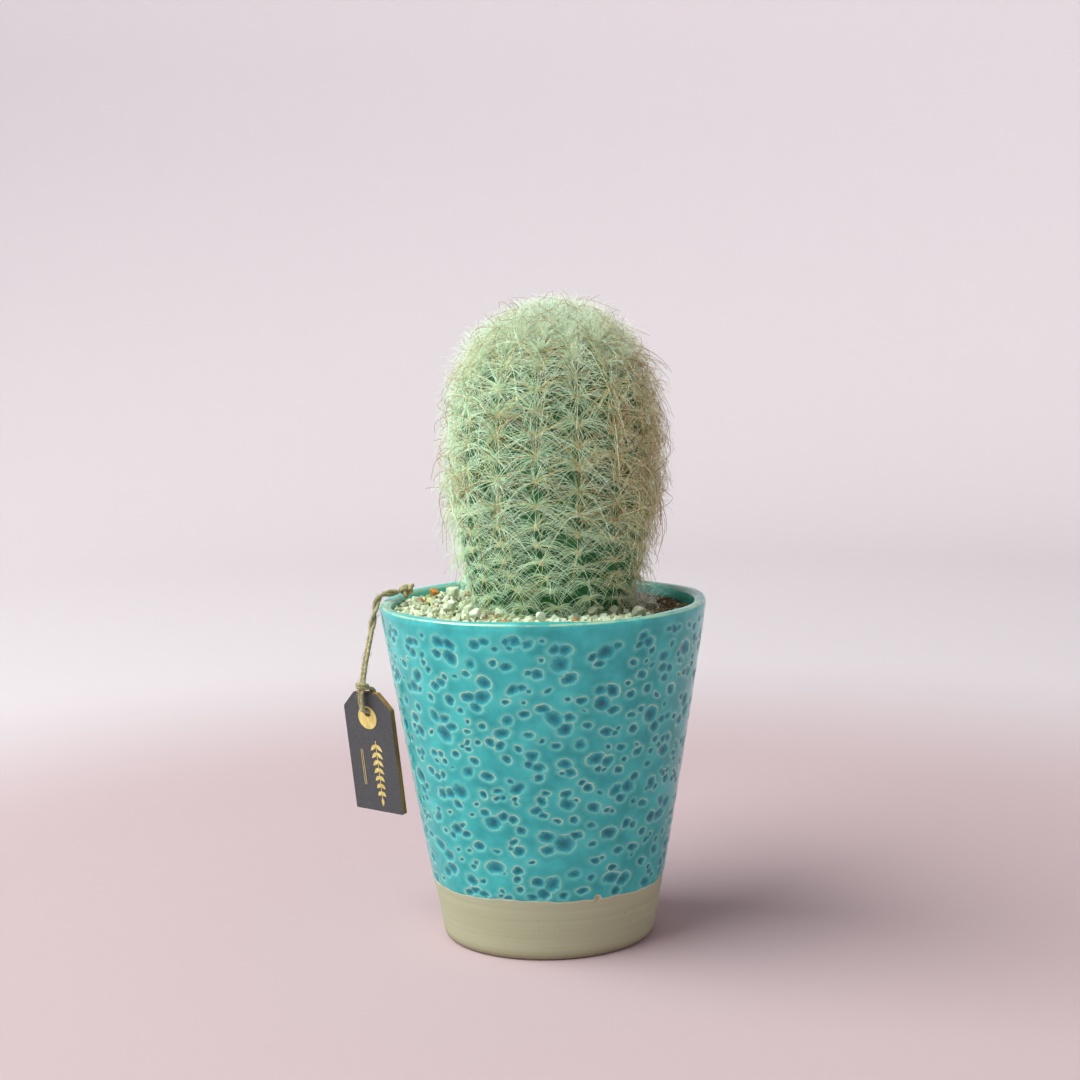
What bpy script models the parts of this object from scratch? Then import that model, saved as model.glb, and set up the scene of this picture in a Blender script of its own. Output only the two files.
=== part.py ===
"""Woolly column cactus in a glazed tapered pot, with a hang tag on jute twine.

Metres, +Z up. The origin is the centre of the pot's foot, on the surface it stands on. -Y is the
front, and the tag hangs over the rim at -X.
"""

import math
import random

import bmesh
import bpy
from mathutils import Matrix, Vector, noise
from mathutils.bvhtree import BVHTree

# Driving dimensions
GAP = 0.00035  # left between neighbouring pieces
POT_HEIGHT = 0.1256
RIM_RADIUS = 0.0600  # widest, where the lip begins
LIP_START = 0.1230  # height of that widest line
FOOT_RADIUS = 0.0398
FOOT_BEVEL = 0.0024
WALL = 0.0046
WALL_BULGE = 0.0004
FLOOR_THICKNESS = 0.0060
INNER_FILLET = 0.0050
LIP_OUTER_ROUND = 0.0014
LIP_INNER_ROUND = 0.0019
POT_SEGMENTS = 60

SOIL_TOP = 0.1100
GRAVEL_LEVEL = 0.1229  # middle of the dressing
GRAVEL_RISE = 0.0013  # higher at -X and lower at +X, at 50 mm out
GRAVEL_BUMP = 0.0005
GRAVEL_SEGMENTS = 44
GRAVEL_RINGS = 7
STONE_COUNT = 14
STONE_SIZES = (0.0021, 0.0030)  # smallest and largest mean radius

STEM_BASE = Vector((0.0034, 0.0, 0.1035))  # bottom of the buried neck
STEM_LEAN = 0.019  # sideways shift toward +X for each metre up
STEM_RIBS = 15
RIB_DEPTH = 0.0036
RIB_STEPS = 6  # points across one rib
FIRST_RIB = math.radians(-100)
BASE_TWIST = 0.30  # radians that the ribs turn in the lowest part
TWIST_TOP = 0.152
STEM_OUTLINE = (  # height and radius over the rib crests, bottom to top
    (0.1035, 0.0135), (0.1120, 0.0232), (0.1200, 0.0272), (0.1300, 0.0305), (0.1450, 0.0334),
    (0.1650, 0.0352), (0.1850, 0.0350), (0.2000, 0.0331), (0.2110, 0.0292), (0.2190, 0.0230),
    (0.2245, 0.0145), (0.2268, 0.0060),
)  # fmt: skip
STEM_APEX = 0.2272
STEM_ROWS = 24

PIN_TOP = Vector((-0.0523, 0.0096, 0.1243))
PIN_TIP = Vector((-0.0458, 0.0040, 0.0985))
PIN_SPREAD = 0.0023  # between the two legs
PIN_WIRE = 0.0005  # wire radius
KNOT_CENTRE = Vector((-0.0512, 0.0102, 0.1281))
KNOT_RADIUS = 0.0026

TWINE_RADIUS = 0.0014  # both strands together
TWINE_ROUTE = (
    (-0.0540, 0.0081, 0.1279), (-0.0560, 0.0064, 0.1280), (-0.0579, 0.0049, 0.1279),
    (-0.0598, 0.0035, 0.1275), (-0.0614, 0.0023, 0.1259), (-0.0621, 0.0015, 0.1232),
    (-0.0628, 0.0009, 0.1200), (-0.0636, 0.0004, 0.1160), (-0.0645, -0.0001, 0.1116),
    (-0.0655, -0.0006, 0.1070), (-0.0664, -0.0011, 0.1027), (-0.0670, -0.0017, 0.0990),
    (-0.0674, -0.0023, 0.0962),
)  # fmt: skip

TAG_WIDTH = 0.0232
TAG_THICKNESS = 0.0022
TAG_ABOVE_HOLE = 0.0077
TAG_BELOW_HOLE = 0.0390
TAG_CHAMFER = 0.0061
TAG_HOLE_RADIUS = 0.0017
TAG_HOLE = Vector((-0.0660, -0.0030, 0.0847))  # centre of the hole on the front face
TAG_TURN = math.radians(37.5)  # the face turns toward -X
TAG_LEAN = math.radians(7.8)  # the lower end swings back toward the pot
HITCH_RADIUS = 0.0012


def clear_scene():
    for obj in list(bpy.data.objects):
        bpy.data.objects.remove(obj, do_unlink=True)


def material(name, colour, roughness, metallic=0.0):
    """A Principled material, made once for each name."""
    found = bpy.data.materials.get(name)
    if found:
        return found
    made = bpy.data.materials.new(name)
    made.use_nodes = True
    shader = made.node_tree.nodes["Principled BSDF"]
    shader.inputs["Base Color"].default_value = (*colour, 1.0)
    shader.inputs["Roughness"].default_value = roughness
    shader.inputs["Metallic"].default_value = metallic
    return made


def add_object(name, mesh_or_curve, finish=None):
    obj = bpy.data.objects.new(name, mesh_or_curve)
    bpy.context.scene.collection.objects.link(obj)
    if finish:
        mesh_or_curve.materials.append(finish)
    return obj


def mesh_object(name, bm, finish=None, smooth_angle=40):
    """Puts a bmesh into a new object, with its faces turned outward."""
    bmesh.ops.recalc_face_normals(bm, faces=bm.faces)
    if bm.calc_volume(signed=True) < 0:
        bmesh.ops.reverse_faces(bm, faces=bm.faces)
    mesh = bpy.data.meshes.new(name)
    bm.to_mesh(mesh)
    bm.free()
    mesh.shade_smooth()
    mesh.set_sharp_from_angle(angle=math.radians(smooth_angle))
    return add_object(name, mesh, finish)


def make_cutter(obj):
    obj.hide_render = True
    obj.display_type = "WIRE"
    return obj


def cut(obj, cutter):
    step = obj.modifiers.new("cut_" + cutter.name, "BOOLEAN")
    step.operation = "DIFFERENCE"
    step.object = cutter


def arc(centre, radius, start, end, steps):
    """Points (radius, height) on an arc, angles in degrees."""
    points = []
    for i in range(steps + 1):
        angle = math.radians(start + (end - start) * i / steps)
        points.append(
            (centre[0] + radius * math.cos(angle), centre[1] + radius * math.sin(angle))
        )
    return points


def turned(name, outline, segments, finish=None):
    """Turns an outline of (radius, height) points about Z with a Screw modifier."""
    bm = bmesh.new()
    verts = [bm.verts.new((r, 0.0, z)) for r, z in outline]
    for a, b in zip(verts, verts[1:]):
        bm.edges.new((a, b))
    mesh = bpy.data.meshes.new(name)
    bm.to_mesh(mesh)
    bm.free()
    obj = add_object(name, mesh, finish)
    screw = obj.modifiers.new("turn", "SCREW")
    screw.steps = screw.render_steps = segments
    screw.use_merge_vertices = True
    screw.merge_threshold = 0.00001
    screw.use_smooth_shade = True
    return obj


def closed_loft(name, rings, finish=None):
    """Bridges closed rings of points and caps both ends with a fan."""
    bm = bmesh.new()
    loops = [[bm.verts.new(p) for p in ring] for ring in rings]
    count = len(loops[0])
    for lower, upper in zip(loops, loops[1:]):
        for i in range(count):
            j = (i + 1) % count
            bm.faces.new((lower[i], lower[j], upper[j], upper[i]))
    for loop in (loops[0], loops[-1]):
        middle = bm.verts.new(sum((v.co for v in loop), Vector()) / count)
        for i in range(count):
            bm.faces.new((loop[i], loop[(i + 1) % count], middle))
    return mesh_object(name, bm, finish)


def smooth_route(points, spacing):
    """Points about spacing apart on a Catmull-Rom curve through the given ones."""
    points = [Vector(p) for p in points]
    ends = [2 * points[0] - points[1], *points, 2 * points[-1] - points[-2]]
    route = []
    for a, b, c, d in zip(ends, ends[1:], ends[2:], ends[3:]):
        steps = max(1, round((c - b).length / spacing))
        for i in range(steps):
            t = i / steps
            route.append(
                0.5 * (2 * b + (c - a) * t + (2 * a - 5 * b + 4 * c - d) * t**2
                       + (3 * b - a - 3 * c + d) * t**3)
            )  # fmt: skip
    return [*route, points[-1]]


def tube(name, points, radius, finish, resolution=2, closed=False):
    """A round tube along a POLY spline, with filled ends."""
    curve = bpy.data.curves.new(name, "CURVE")
    curve.dimensions = "3D"
    curve.bevel_depth = radius
    curve.bevel_resolution = resolution
    curve.use_fill_caps = not closed
    spline = curve.splines.new("POLY")
    spline.points.add(len(points) - 1)
    for spline_point, point in zip(spline.points, points):
        spline_point.co = (*point, 1.0)
    spline.use_cyclic_u = closed
    return add_object(name, curve, finish)


def outer_wall(z):
    """Outside radius of the pot's wall."""
    t = (z - FOOT_BEVEL) / (LIP_START - FOOT_BEVEL)
    straight = FOOT_RADIUS + (RIM_RADIUS - FOOT_RADIUS) * t
    return straight + WALL_BULGE * 4 * max(t, 0.0) * max(1 - t, 0.0)


def inner_wall(z):
    return outer_wall(z) - WALL


def wall_points(radius_at, start, end, steps):
    heights = [start + (end - start) * i / steps for i in range(steps + 1)]
    return [(radius_at(z), z) for z in heights]


def make_pot():
    glaze = material("turquoise_glaze", (0.11, 0.53, 0.55), 0.16)
    fillet_height = FLOOR_THICKNESS + INNER_FILLET
    fillet_centre = (inner_wall(fillet_height) - INNER_FILLET, fillet_height)
    inner_start = POT_HEIGHT - LIP_INNER_ROUND
    inner_centre = (inner_wall(inner_start) + LIP_INNER_ROUND, inner_start)
    outer_start = POT_HEIGHT - LIP_OUTER_ROUND
    outer_centre = (RIM_RADIUS - LIP_OUTER_ROUND, outer_start)
    outline = [(0.0, FLOOR_THICKNESS)]
    outline += arc(fillet_centre, INNER_FILLET, -90, 0, 4)
    outline += wall_points(inner_wall, fillet_height, inner_start, 4)[1:-1]
    outline += arc(inner_centre, LIP_INNER_ROUND, 180, 95, 3)
    outline += arc(outer_centre, LIP_OUTER_ROUND, 85, 0, 3)
    outline += wall_points(outer_wall, LIP_START, FOOT_BEVEL, 6)
    outline += [(FOOT_RADIUS - 0.0006, 0.0012), (FOOT_RADIUS - 0.0026, 0.0), (0.0, 0.0)]
    return turned("pot", outline, POT_SEGMENTS, glaze)


def stem_axis(z):
    """Centre of the stem at a height."""
    return Vector((STEM_BASE.x + STEM_LEAN * (z - STEM_BASE.z), STEM_BASE.y, z))


def make_root_cutter():
    """The room that the stem's buried neck takes out of the soil and the gravel."""
    rings = []
    heights = [STEM_BASE.z - GAP, *(z for z, _ in STEM_OUTLINE[1:4]), 0.1360]
    radii = [*(radius for _, radius in STEM_OUTLINE[:4]), 0.0318]
    for z, radius in zip(heights, radii):
        centre = stem_axis(z)
        ring = []
        for i in range(48):
            angle = 2 * math.pi * i / 48
            offset = Vector((math.cos(angle), math.sin(angle), 0.0))
            ring.append(centre + offset * (radius + 2 * GAP))
        rings.append(ring)
    return make_cutter(closed_loft("neck_cutter", rings))


def make_pin_cutter():
    """A flat oval bore that both legs of the pin stand in."""
    along = (PIN_TOP - PIN_TIP).normalized()
    bm = bmesh.new()
    length = (PIN_TOP - PIN_TIP).length + 0.0040
    bmesh.ops.create_cone(
        bm, cap_ends=True, segments=12, radius1=0.0010, radius2=0.0010, depth=length
    )
    bmesh.ops.scale(bm, vec=(1.0, 2.3, 1.0), verts=bm.verts)
    cutter = mesh_object("pin_cutter", bm)
    cutter.matrix_world = pin_frame(along, (PIN_TOP + PIN_TIP) / 2)
    return make_cutter(cutter)


def pin_frame(along, origin):
    """Z along the pin and Y across its two legs."""
    across = pin_across()
    side = across.cross(along).normalized()
    frame = Matrix((side, across, along)).transposed().to_4x4()
    frame.translation = origin
    return frame


def pin_across():
    along = (PIN_TOP - PIN_TIP).normalized()
    return along.cross(Vector((1.0, 0.0, 0.0))).normalized()


def make_soil(cutters):
    peat = material("potting_soil", (0.045, 0.028, 0.018), 0.95)
    bottom = FLOOR_THICKNESS + GAP
    fillet_height = FLOOR_THICKNESS + INNER_FILLET
    centre = (inner_wall(fillet_height) - INNER_FILLET, fillet_height)
    outline = [(0.0, SOIL_TOP)]
    outline += wall_points(lambda z: inner_wall(z) - GAP, SOIL_TOP, fillet_height, 3)
    outline += arc(centre, INNER_FILLET - GAP, 0, -90, 3)[1:-1]
    outline += [(centre[0], bottom), (0.0, bottom)]
    soil = turned("potting_soil", outline, 40, peat)
    for cutter in cutters:
        cut(soil, cutter)
    return soil


def gravel_height(x, y):
    """Mean top of the dressing: heaped toward -X, and sunk a little along the wall."""
    edge = max(0.0, math.hypot(x, y) - 0.046) / 0.008
    bump = noise.noise(Vector((x, y, 0.3)) * 260)
    front = max(0.0, -y) * 0.012
    level = GRAVEL_LEVEL - GRAVEL_RISE * x / 0.05 + front - 0.0007 * edge**2
    return level + GRAVEL_BUMP * bump


def make_gravel_bed(cutters):
    """Loose quartz laid over the soil, one bumpy ring between the stem and the wall."""
    quartz = material("quartz_gravel", (0.72, 0.66, 0.50), 0.6)
    bottom = SOIL_TOP + GAP
    angles = [2 * math.pi * i / GRAVEL_SEGMENTS for i in range(GRAVEL_SEGMENTS)]

    def ring(radius_at, height_at):
        made = []
        for angle in angles:
            across = Vector((math.cos(angle), math.sin(angle), 0.0))
            edge = across * radius_at
            made.append(Vector((edge.x, edge.y, height_at(edge.x, edge.y))))
        return made

    low_radius = inner_wall(bottom) - GAP
    top_radius = inner_wall(GRAVEL_LEVEL - 0.004) - GAP
    rings = [ring(0.012, lambda x, y: bottom), ring(low_radius, lambda x, y: bottom)]
    for i in range(GRAVEL_RINGS):
        t = i / (GRAVEL_RINGS - 1)
        rings.append(ring(top_radius + (0.014 - top_radius) * t, gravel_height))
    bed = closed_loft("gravel_bed", rings, quartz)
    for cutter in cutters:
        cut(bed, cutter)
    return bed


def stem_outline_radius(z):
    """Radius over the rib crests, smooth through STEM_OUTLINE."""
    points = (*STEM_OUTLINE, (STEM_APEX, 0.0))
    for i in range(len(points) - 1):
        (z0, r0), (z1, r1) = points[i], points[i + 1]
        if z <= z1 or i == len(points) - 2:
            t = (z - z0) / (z1 - z0)
            before = points[max(i - 1, 0)]
            after = points[min(i + 2, len(points) - 1)]
            m0 = (r1 - before[1]) / (z1 - before[0]) * (z1 - z0)
            m1 = (after[1] - r0) / (after[0] - z0) * (z1 - z0)
            smooth = (
                (2 * t**3 - 3 * t**2 + 1) * r0 + (t**3 - 2 * t**2 + t) * m0
                + (3 * t**2 - 2 * t**3) * r1 + (t**3 - t**2) * m1
            )  # fmt: skip
            return smooth if i < len(points) - 3 else r0 + (r1 - r0) * t
    return 0.0


def ease(low, high, value):
    t = min(max((value - low) / (high - low), 0.0), 1.0)
    return t * t * (3 - 2 * t)


def make_stem():
    """The ribbed stem, from its buried neck to its domed crown."""
    skin = material("cactus_skin", (0.09, 0.20, 0.075), 0.6)
    columns = STEM_RIBS * RIB_STEPS
    bottom, top = STEM_OUTLINE[0][0], STEM_OUTLINE[-1][0]
    rings = []
    for row in range(STEM_ROWS):
        t = row / (STEM_ROWS - 1)
        z = bottom + (top - bottom) * (t + 0.10 * math.sin(2 * math.pi * t) / 2)
        crest = stem_outline_radius(z)
        depth = RIB_DEPTH * ease(0.1130, 0.1300, z) * min(1.0, crest / 0.024)
        twist = BASE_TWIST * (1 - ease(0.1150, TWIST_TOP, z))
        centre = stem_axis(z)
        ring = []
        for i in range(columns):
            angle = FIRST_RIB + twist + 2 * math.pi * i / columns
            across = abs(2 * ((i / RIB_STEPS) % 1.0) - 1)  # 1 on a crest, 0 in a furrow
            radius = crest - depth * (1 - across) ** 1.3
            ring.append(centre + Vector((math.cos(angle), math.sin(angle), 0.0)) * radius)
        rings.append(ring)
    return closed_loft("cactus_stem", rings, skin)


def drop_height(tree, verts, spot):
    """How far the verts, moved over spot, can come down before one meets the surface."""
    heights = []
    for vert in verts:
        above = Vector((vert.co.x + spot.x, vert.co.y + spot.y, 2 * POT_HEIGHT))
        hit = tree.ray_cast(above, Vector((0.0, 0.0, -1.0)))[0]
        if hit:
            heights.append(vert.co.z - hit.z)
    return min(heights)


def make_stones(bed):
    """Larger pieces of quartz lying on the dressing, each lowered until it nearly touches."""
    finishes = (
        material("cream_quartz", (0.78, 0.73, 0.60), 0.5),
        material("amber_quartz", (0.62, 0.33, 0.11), 0.45),
    )
    graph = bpy.context.evaluated_depsgraph_get()
    tree = BVHTree.FromObject(bed, graph)
    draw = random.Random(21)
    placed = []
    while len(placed) < STONE_COUNT:
        radius = draw.uniform(*STONE_SIZES)
        angle = math.radians(draw.uniform(100, 345))
        out = draw.uniform(0.033, 0.049)
        spot = Vector((out * math.cos(angle), out * math.sin(angle), 0.0))
        from_stem = (spot - stem_axis(0.0).xy.to_3d()).length
        near_pin = (spot - PIN_TOP.xy.to_3d()).length < radius + 0.0045
        crowded = any((spot - other).length < radius + r + 0.0008 for other, r in placed)
        if crowded or near_pin or from_stem < 0.0312 + radius * 1.3:
            continue
        placed.append((spot, radius))
        name = f"gravel_stone_{len(placed):02d}"
        bm = bmesh.new()
        bmesh.ops.create_icosphere(bm, subdivisions=2, radius=radius)
        seed = Vector((len(placed) * 3.1, 1.7, 0.4))
        shape = Vector((draw.uniform(0.9, 1.2), draw.uniform(0.8, 1.05), draw.uniform(0.65, 0.8)))
        turn = Matrix.Rotation(draw.uniform(0, 2 * math.pi), 4, "Z")
        for vert in bm.verts:
            swell = 1 + 0.22 * noise.noise(vert.co / radius * 0.9 + seed)
            vert.co = turn @ (vert.co * swell * shape)
        drop = drop_height(tree, bm.verts, spot)
        stone = mesh_object(name, bm, finishes[len(placed) % 4 == 0], smooth_angle=25)
        stone.location = spot + Vector((0.0, 0.0, GAP - drop))


def make_pin():
    """A hairpin of green coated wire that holds the twine's knot down."""
    coated = material("green_coated_wire", (0.03, 0.075, 0.04), 0.5)
    across = pin_across() * (PIN_SPREAD / 2)
    along = (PIN_TOP - PIN_TIP).normalized()
    bend = PIN_TOP - along * (PIN_SPREAD / 2)
    points = [PIN_TIP - across, bend - across]
    for i in range(1, 6):
        angle = math.pi * i / 6
        points.append(
            bend - across * math.cos(angle) + along * (PIN_SPREAD / 2) * math.sin(angle)
        )
    points += [bend + across, PIN_TIP + across]
    return tube("wire_pin", points, PIN_WIRE, coated)


def make_twine():
    jute = material("jute_twine", (0.42, 0.36, 0.20), 0.9)
    route = smooth_route(TWINE_ROUTE, 2.3 * TWINE_RADIUS)
    tube("twine", route, TWINE_RADIUS, jute)
    bm = bmesh.new()
    bmesh.ops.create_icosphere(bm, subdivisions=2, radius=KNOT_RADIUS)
    bmesh.ops.scale(bm, vec=(0.95, 1.0, 0.92), verts=bm.verts)
    knot = mesh_object("twine_knot", bm, jute)
    knot.location = KNOT_CENTRE
    return knot


def tag_frame():
    """X across the tag's face, Y up it and Z out of it, from the middle of the hole."""
    across = Vector((math.cos(TAG_TURN), -math.sin(TAG_TURN), 0.0))
    out = Vector((-math.sin(TAG_TURN), -math.cos(TAG_TURN), 0.0))
    up = Vector((0.0, 0.0, 1.0))
    tilted_up = up * math.cos(TAG_LEAN) + out * math.sin(TAG_LEAN)
    tilted_out = out * math.cos(TAG_LEAN) - up * math.sin(TAG_LEAN)
    frame = Matrix((across, tilted_up, tilted_out)).transposed().to_4x4()
    frame.translation = TAG_HOLE
    return frame


def make_tag():
    """A board with its upper corners cut off and a hole for the twine."""
    board = material("grey_tag_board", (0.055, 0.055, 0.058), 0.8)
    half, top, low = TAG_WIDTH / 2, TAG_ABOVE_HOLE, -TAG_BELOW_HOLE
    outline = [
        (-half, low), (half, low), (half, top - TAG_CHAMFER), (half - TAG_CHAMFER, top),
        (-half + TAG_CHAMFER, top), (-half, top - TAG_CHAMFER),
    ]  # fmt: skip
    bm = bmesh.new()
    face = bm.faces.new([bm.verts.new((x, y, -TAG_THICKNESS)) for x, y in outline])
    raised = bmesh.ops.extrude_face_region(bm, geom=[face])["geom"]
    moved = [item for item in raised if isinstance(item, bmesh.types.BMVert)]
    bmesh.ops.translate(bm, verts=moved, vec=(0.0, 0.0, TAG_THICKNESS))
    tag = mesh_object("tag", bm, board)
    tag.matrix_world = tag_frame()

    bm = bmesh.new()
    bmesh.ops.create_cone(
        bm, cap_ends=True, segments=24, radius1=TAG_HOLE_RADIUS, radius2=TAG_HOLE_RADIUS,
        depth=4 * TAG_THICKNESS,
    )  # fmt: skip
    hole = mesh_object("tag_hole_cutter", bm)
    hole.matrix_world = tag_frame()
    cut(tag, make_cutter(hole))
    return tag


def make_hitch():
    """The twine's closed loop, through the tag's hole and back over its upper edge."""
    jute = material("jute_twine", (0.42, 0.36, 0.20), 0.9)
    stand_off = HITCH_RADIUS + GAP + 0.0001
    back = -TAG_THICKNESS - stand_off
    crown = TAG_ABOVE_HOLE + stand_off + 0.0002
    loop = [
        (0.0, -0.0001, stand_off * 0.7), (0.0, -0.0001, -TAG_THICKNESS / 2),
        (0.0, -0.0001, back * 0.8), (0.0001, 0.0016, back - 0.0003), (0.0005, 0.0045, back - 0.0004),
        (0.0008, TAG_ABOVE_HOLE - 0.0006, back - 0.0003), (0.0006, crown - 0.0002, back * 0.72),
        (0.0, crown + 0.0001, -TAG_THICKNESS / 2), (-0.0005, crown - 0.0004, stand_off * 0.72),
        (-0.0007, TAG_ABOVE_HOLE - 0.0010, stand_off + 0.0004), (-0.0005, 0.0042, stand_off + 0.0005),
        (-0.0001, 0.0015, stand_off + 0.0003),
    ]  # fmt: skip
    frame = tag_frame()
    return tube("twine_hitch", [frame @ Vector(p) for p in loop], HITCH_RADIUS, jute, closed=True)


def main():
    clear_scene()
    make_pot()
    neck_cutter = make_root_cutter()
    pin_cutter = make_pin_cutter()
    make_soil([neck_cutter, pin_cutter])
    bed = make_gravel_bed([neck_cutter, pin_cutter])
    make_stem()
    make_stones(bed)
    make_pin()
    make_twine()
    make_tag()
    make_hitch()


main()
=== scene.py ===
"""Looks for the potted woolly cactus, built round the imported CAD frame.

Metres, +Z up, origin at the centre of the pot's foot. -Y is the front and the tag hangs at -X.
"""

import math

import bmesh
import bpy
import numpy as np
from mathutils import Matrix, Vector


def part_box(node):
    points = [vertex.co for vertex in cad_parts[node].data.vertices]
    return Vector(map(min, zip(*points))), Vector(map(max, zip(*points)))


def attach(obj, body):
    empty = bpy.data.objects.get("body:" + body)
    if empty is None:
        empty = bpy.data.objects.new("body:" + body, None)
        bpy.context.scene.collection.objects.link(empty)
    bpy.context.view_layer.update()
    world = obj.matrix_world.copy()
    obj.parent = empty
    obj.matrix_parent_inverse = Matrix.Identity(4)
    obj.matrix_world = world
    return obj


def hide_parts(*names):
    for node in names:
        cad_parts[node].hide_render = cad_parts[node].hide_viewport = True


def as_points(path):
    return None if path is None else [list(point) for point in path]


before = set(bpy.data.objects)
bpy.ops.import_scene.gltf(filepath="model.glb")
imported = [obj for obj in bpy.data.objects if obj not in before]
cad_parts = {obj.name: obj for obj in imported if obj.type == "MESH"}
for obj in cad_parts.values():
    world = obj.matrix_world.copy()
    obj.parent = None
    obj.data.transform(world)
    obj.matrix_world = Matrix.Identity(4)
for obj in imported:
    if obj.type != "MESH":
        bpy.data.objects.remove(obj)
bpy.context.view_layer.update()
BODY = "root"
MM = 0.001
TURN = 2 * math.pi

# Pot, as in the CAD model
POT_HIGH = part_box("pot")[1]
RIM_RADIUS = POT_HIGH.x
POT_HEIGHT = POT_HIGH.z
LIP_START = 0.1230
FOOT_RADIUS = 0.0398
FOOT_BEVEL = 0.0024
WALL = 0.0046
WALL_BULGE = 0.0004
FLOOR_THICKNESS = 0.0060
LIP_OUTER_ROUND = 0.0014
LIP_INNER_ROUND = 0.0019
GRAVEL_LEVEL = 0.1229
GRAVEL_RISE = 0.0013

# Stem, as in the CAD model
STEM_BASE = Vector((0.0034, 0.0, 0.1035))
STEM_LEAN = 0.019
STEM_RIBS = 15
RIB_DEPTH = 0.0036
FIRST_RIB = math.radians(-100)
BASE_TWIST = 0.30
TWIST_FOOT = 0.1150
TWIST_TOP = 0.152
STEM_OUTLINE = (
    (0.1035, 0.0135), (0.1120, 0.0232), (0.1200, 0.0272), (0.1300, 0.0305), (0.1450, 0.0334),
    (0.1650, 0.0352), (0.1850, 0.0350), (0.2000, 0.0331), (0.2110, 0.0292), (0.2190, 0.0230),
    (0.2245, 0.0145), (0.2268, 0.0060), (0.2272, 0.0),
)  # fmt: skip

# Twine, pin and tag, as in the CAD model
PIN_TOP = Vector((-0.0523, 0.0096, 0.1243))
PIN_TIP = Vector((-0.0458, 0.0040, 0.0985))
PIN_SPREAD = 0.0023
PIN_WIRE = 0.0005
KNOT_CENTRE = Vector((-0.0512, 0.0102, 0.1281))
TWINE_ROUTE = (
    (-0.0540, 0.0081, 0.1279), (-0.0560, 0.0064, 0.1280), (-0.0579, 0.0049, 0.1279),
    (-0.0598, 0.0035, 0.1275), (-0.0614, 0.0023, 0.1259), (-0.0621, 0.0015, 0.1232),
    (-0.0628, 0.0009, 0.1200), (-0.0636, 0.0004, 0.1160), (-0.0645, -0.0001, 0.1116),
    (-0.0655, -0.0006, 0.1070), (-0.0664, -0.0011, 0.1027), (-0.0670, -0.0017, 0.0990),
    (-0.0674, -0.0023, 0.0962),
)  # fmt: skip
TAG_WIDTH = 0.0232
TAG_THICKNESS = 0.0022
TAG_ABOVE_HOLE = 0.0077
TAG_BELOW_HOLE = 0.0390
TAG_CHAMFER = 0.0061
TAG_HOLE_RADIUS = 0.0017
TAG_HOLE = Vector((-0.0660, -0.0030, 0.0847))
TAG_TURN = math.radians(37.5)
TAG_LEAN = math.radians(7.8)


# ---------------------------------------------------------------- small tools


def srgb(red, green, blue):
    """A linear colour from the usual 0 to 255 values."""
    parts = (value / 255 for value in (red, green, blue))
    return (*(v / 12.92 if v < 0.04045 else ((v + 0.055) / 1.055) ** 2.4 for v in parts), 1.0)


def ease(low, high, value):
    t = np.clip((value - low) / (high - low), 0.0, 1.0)
    return t * t * (3 - 2 * t)


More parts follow.
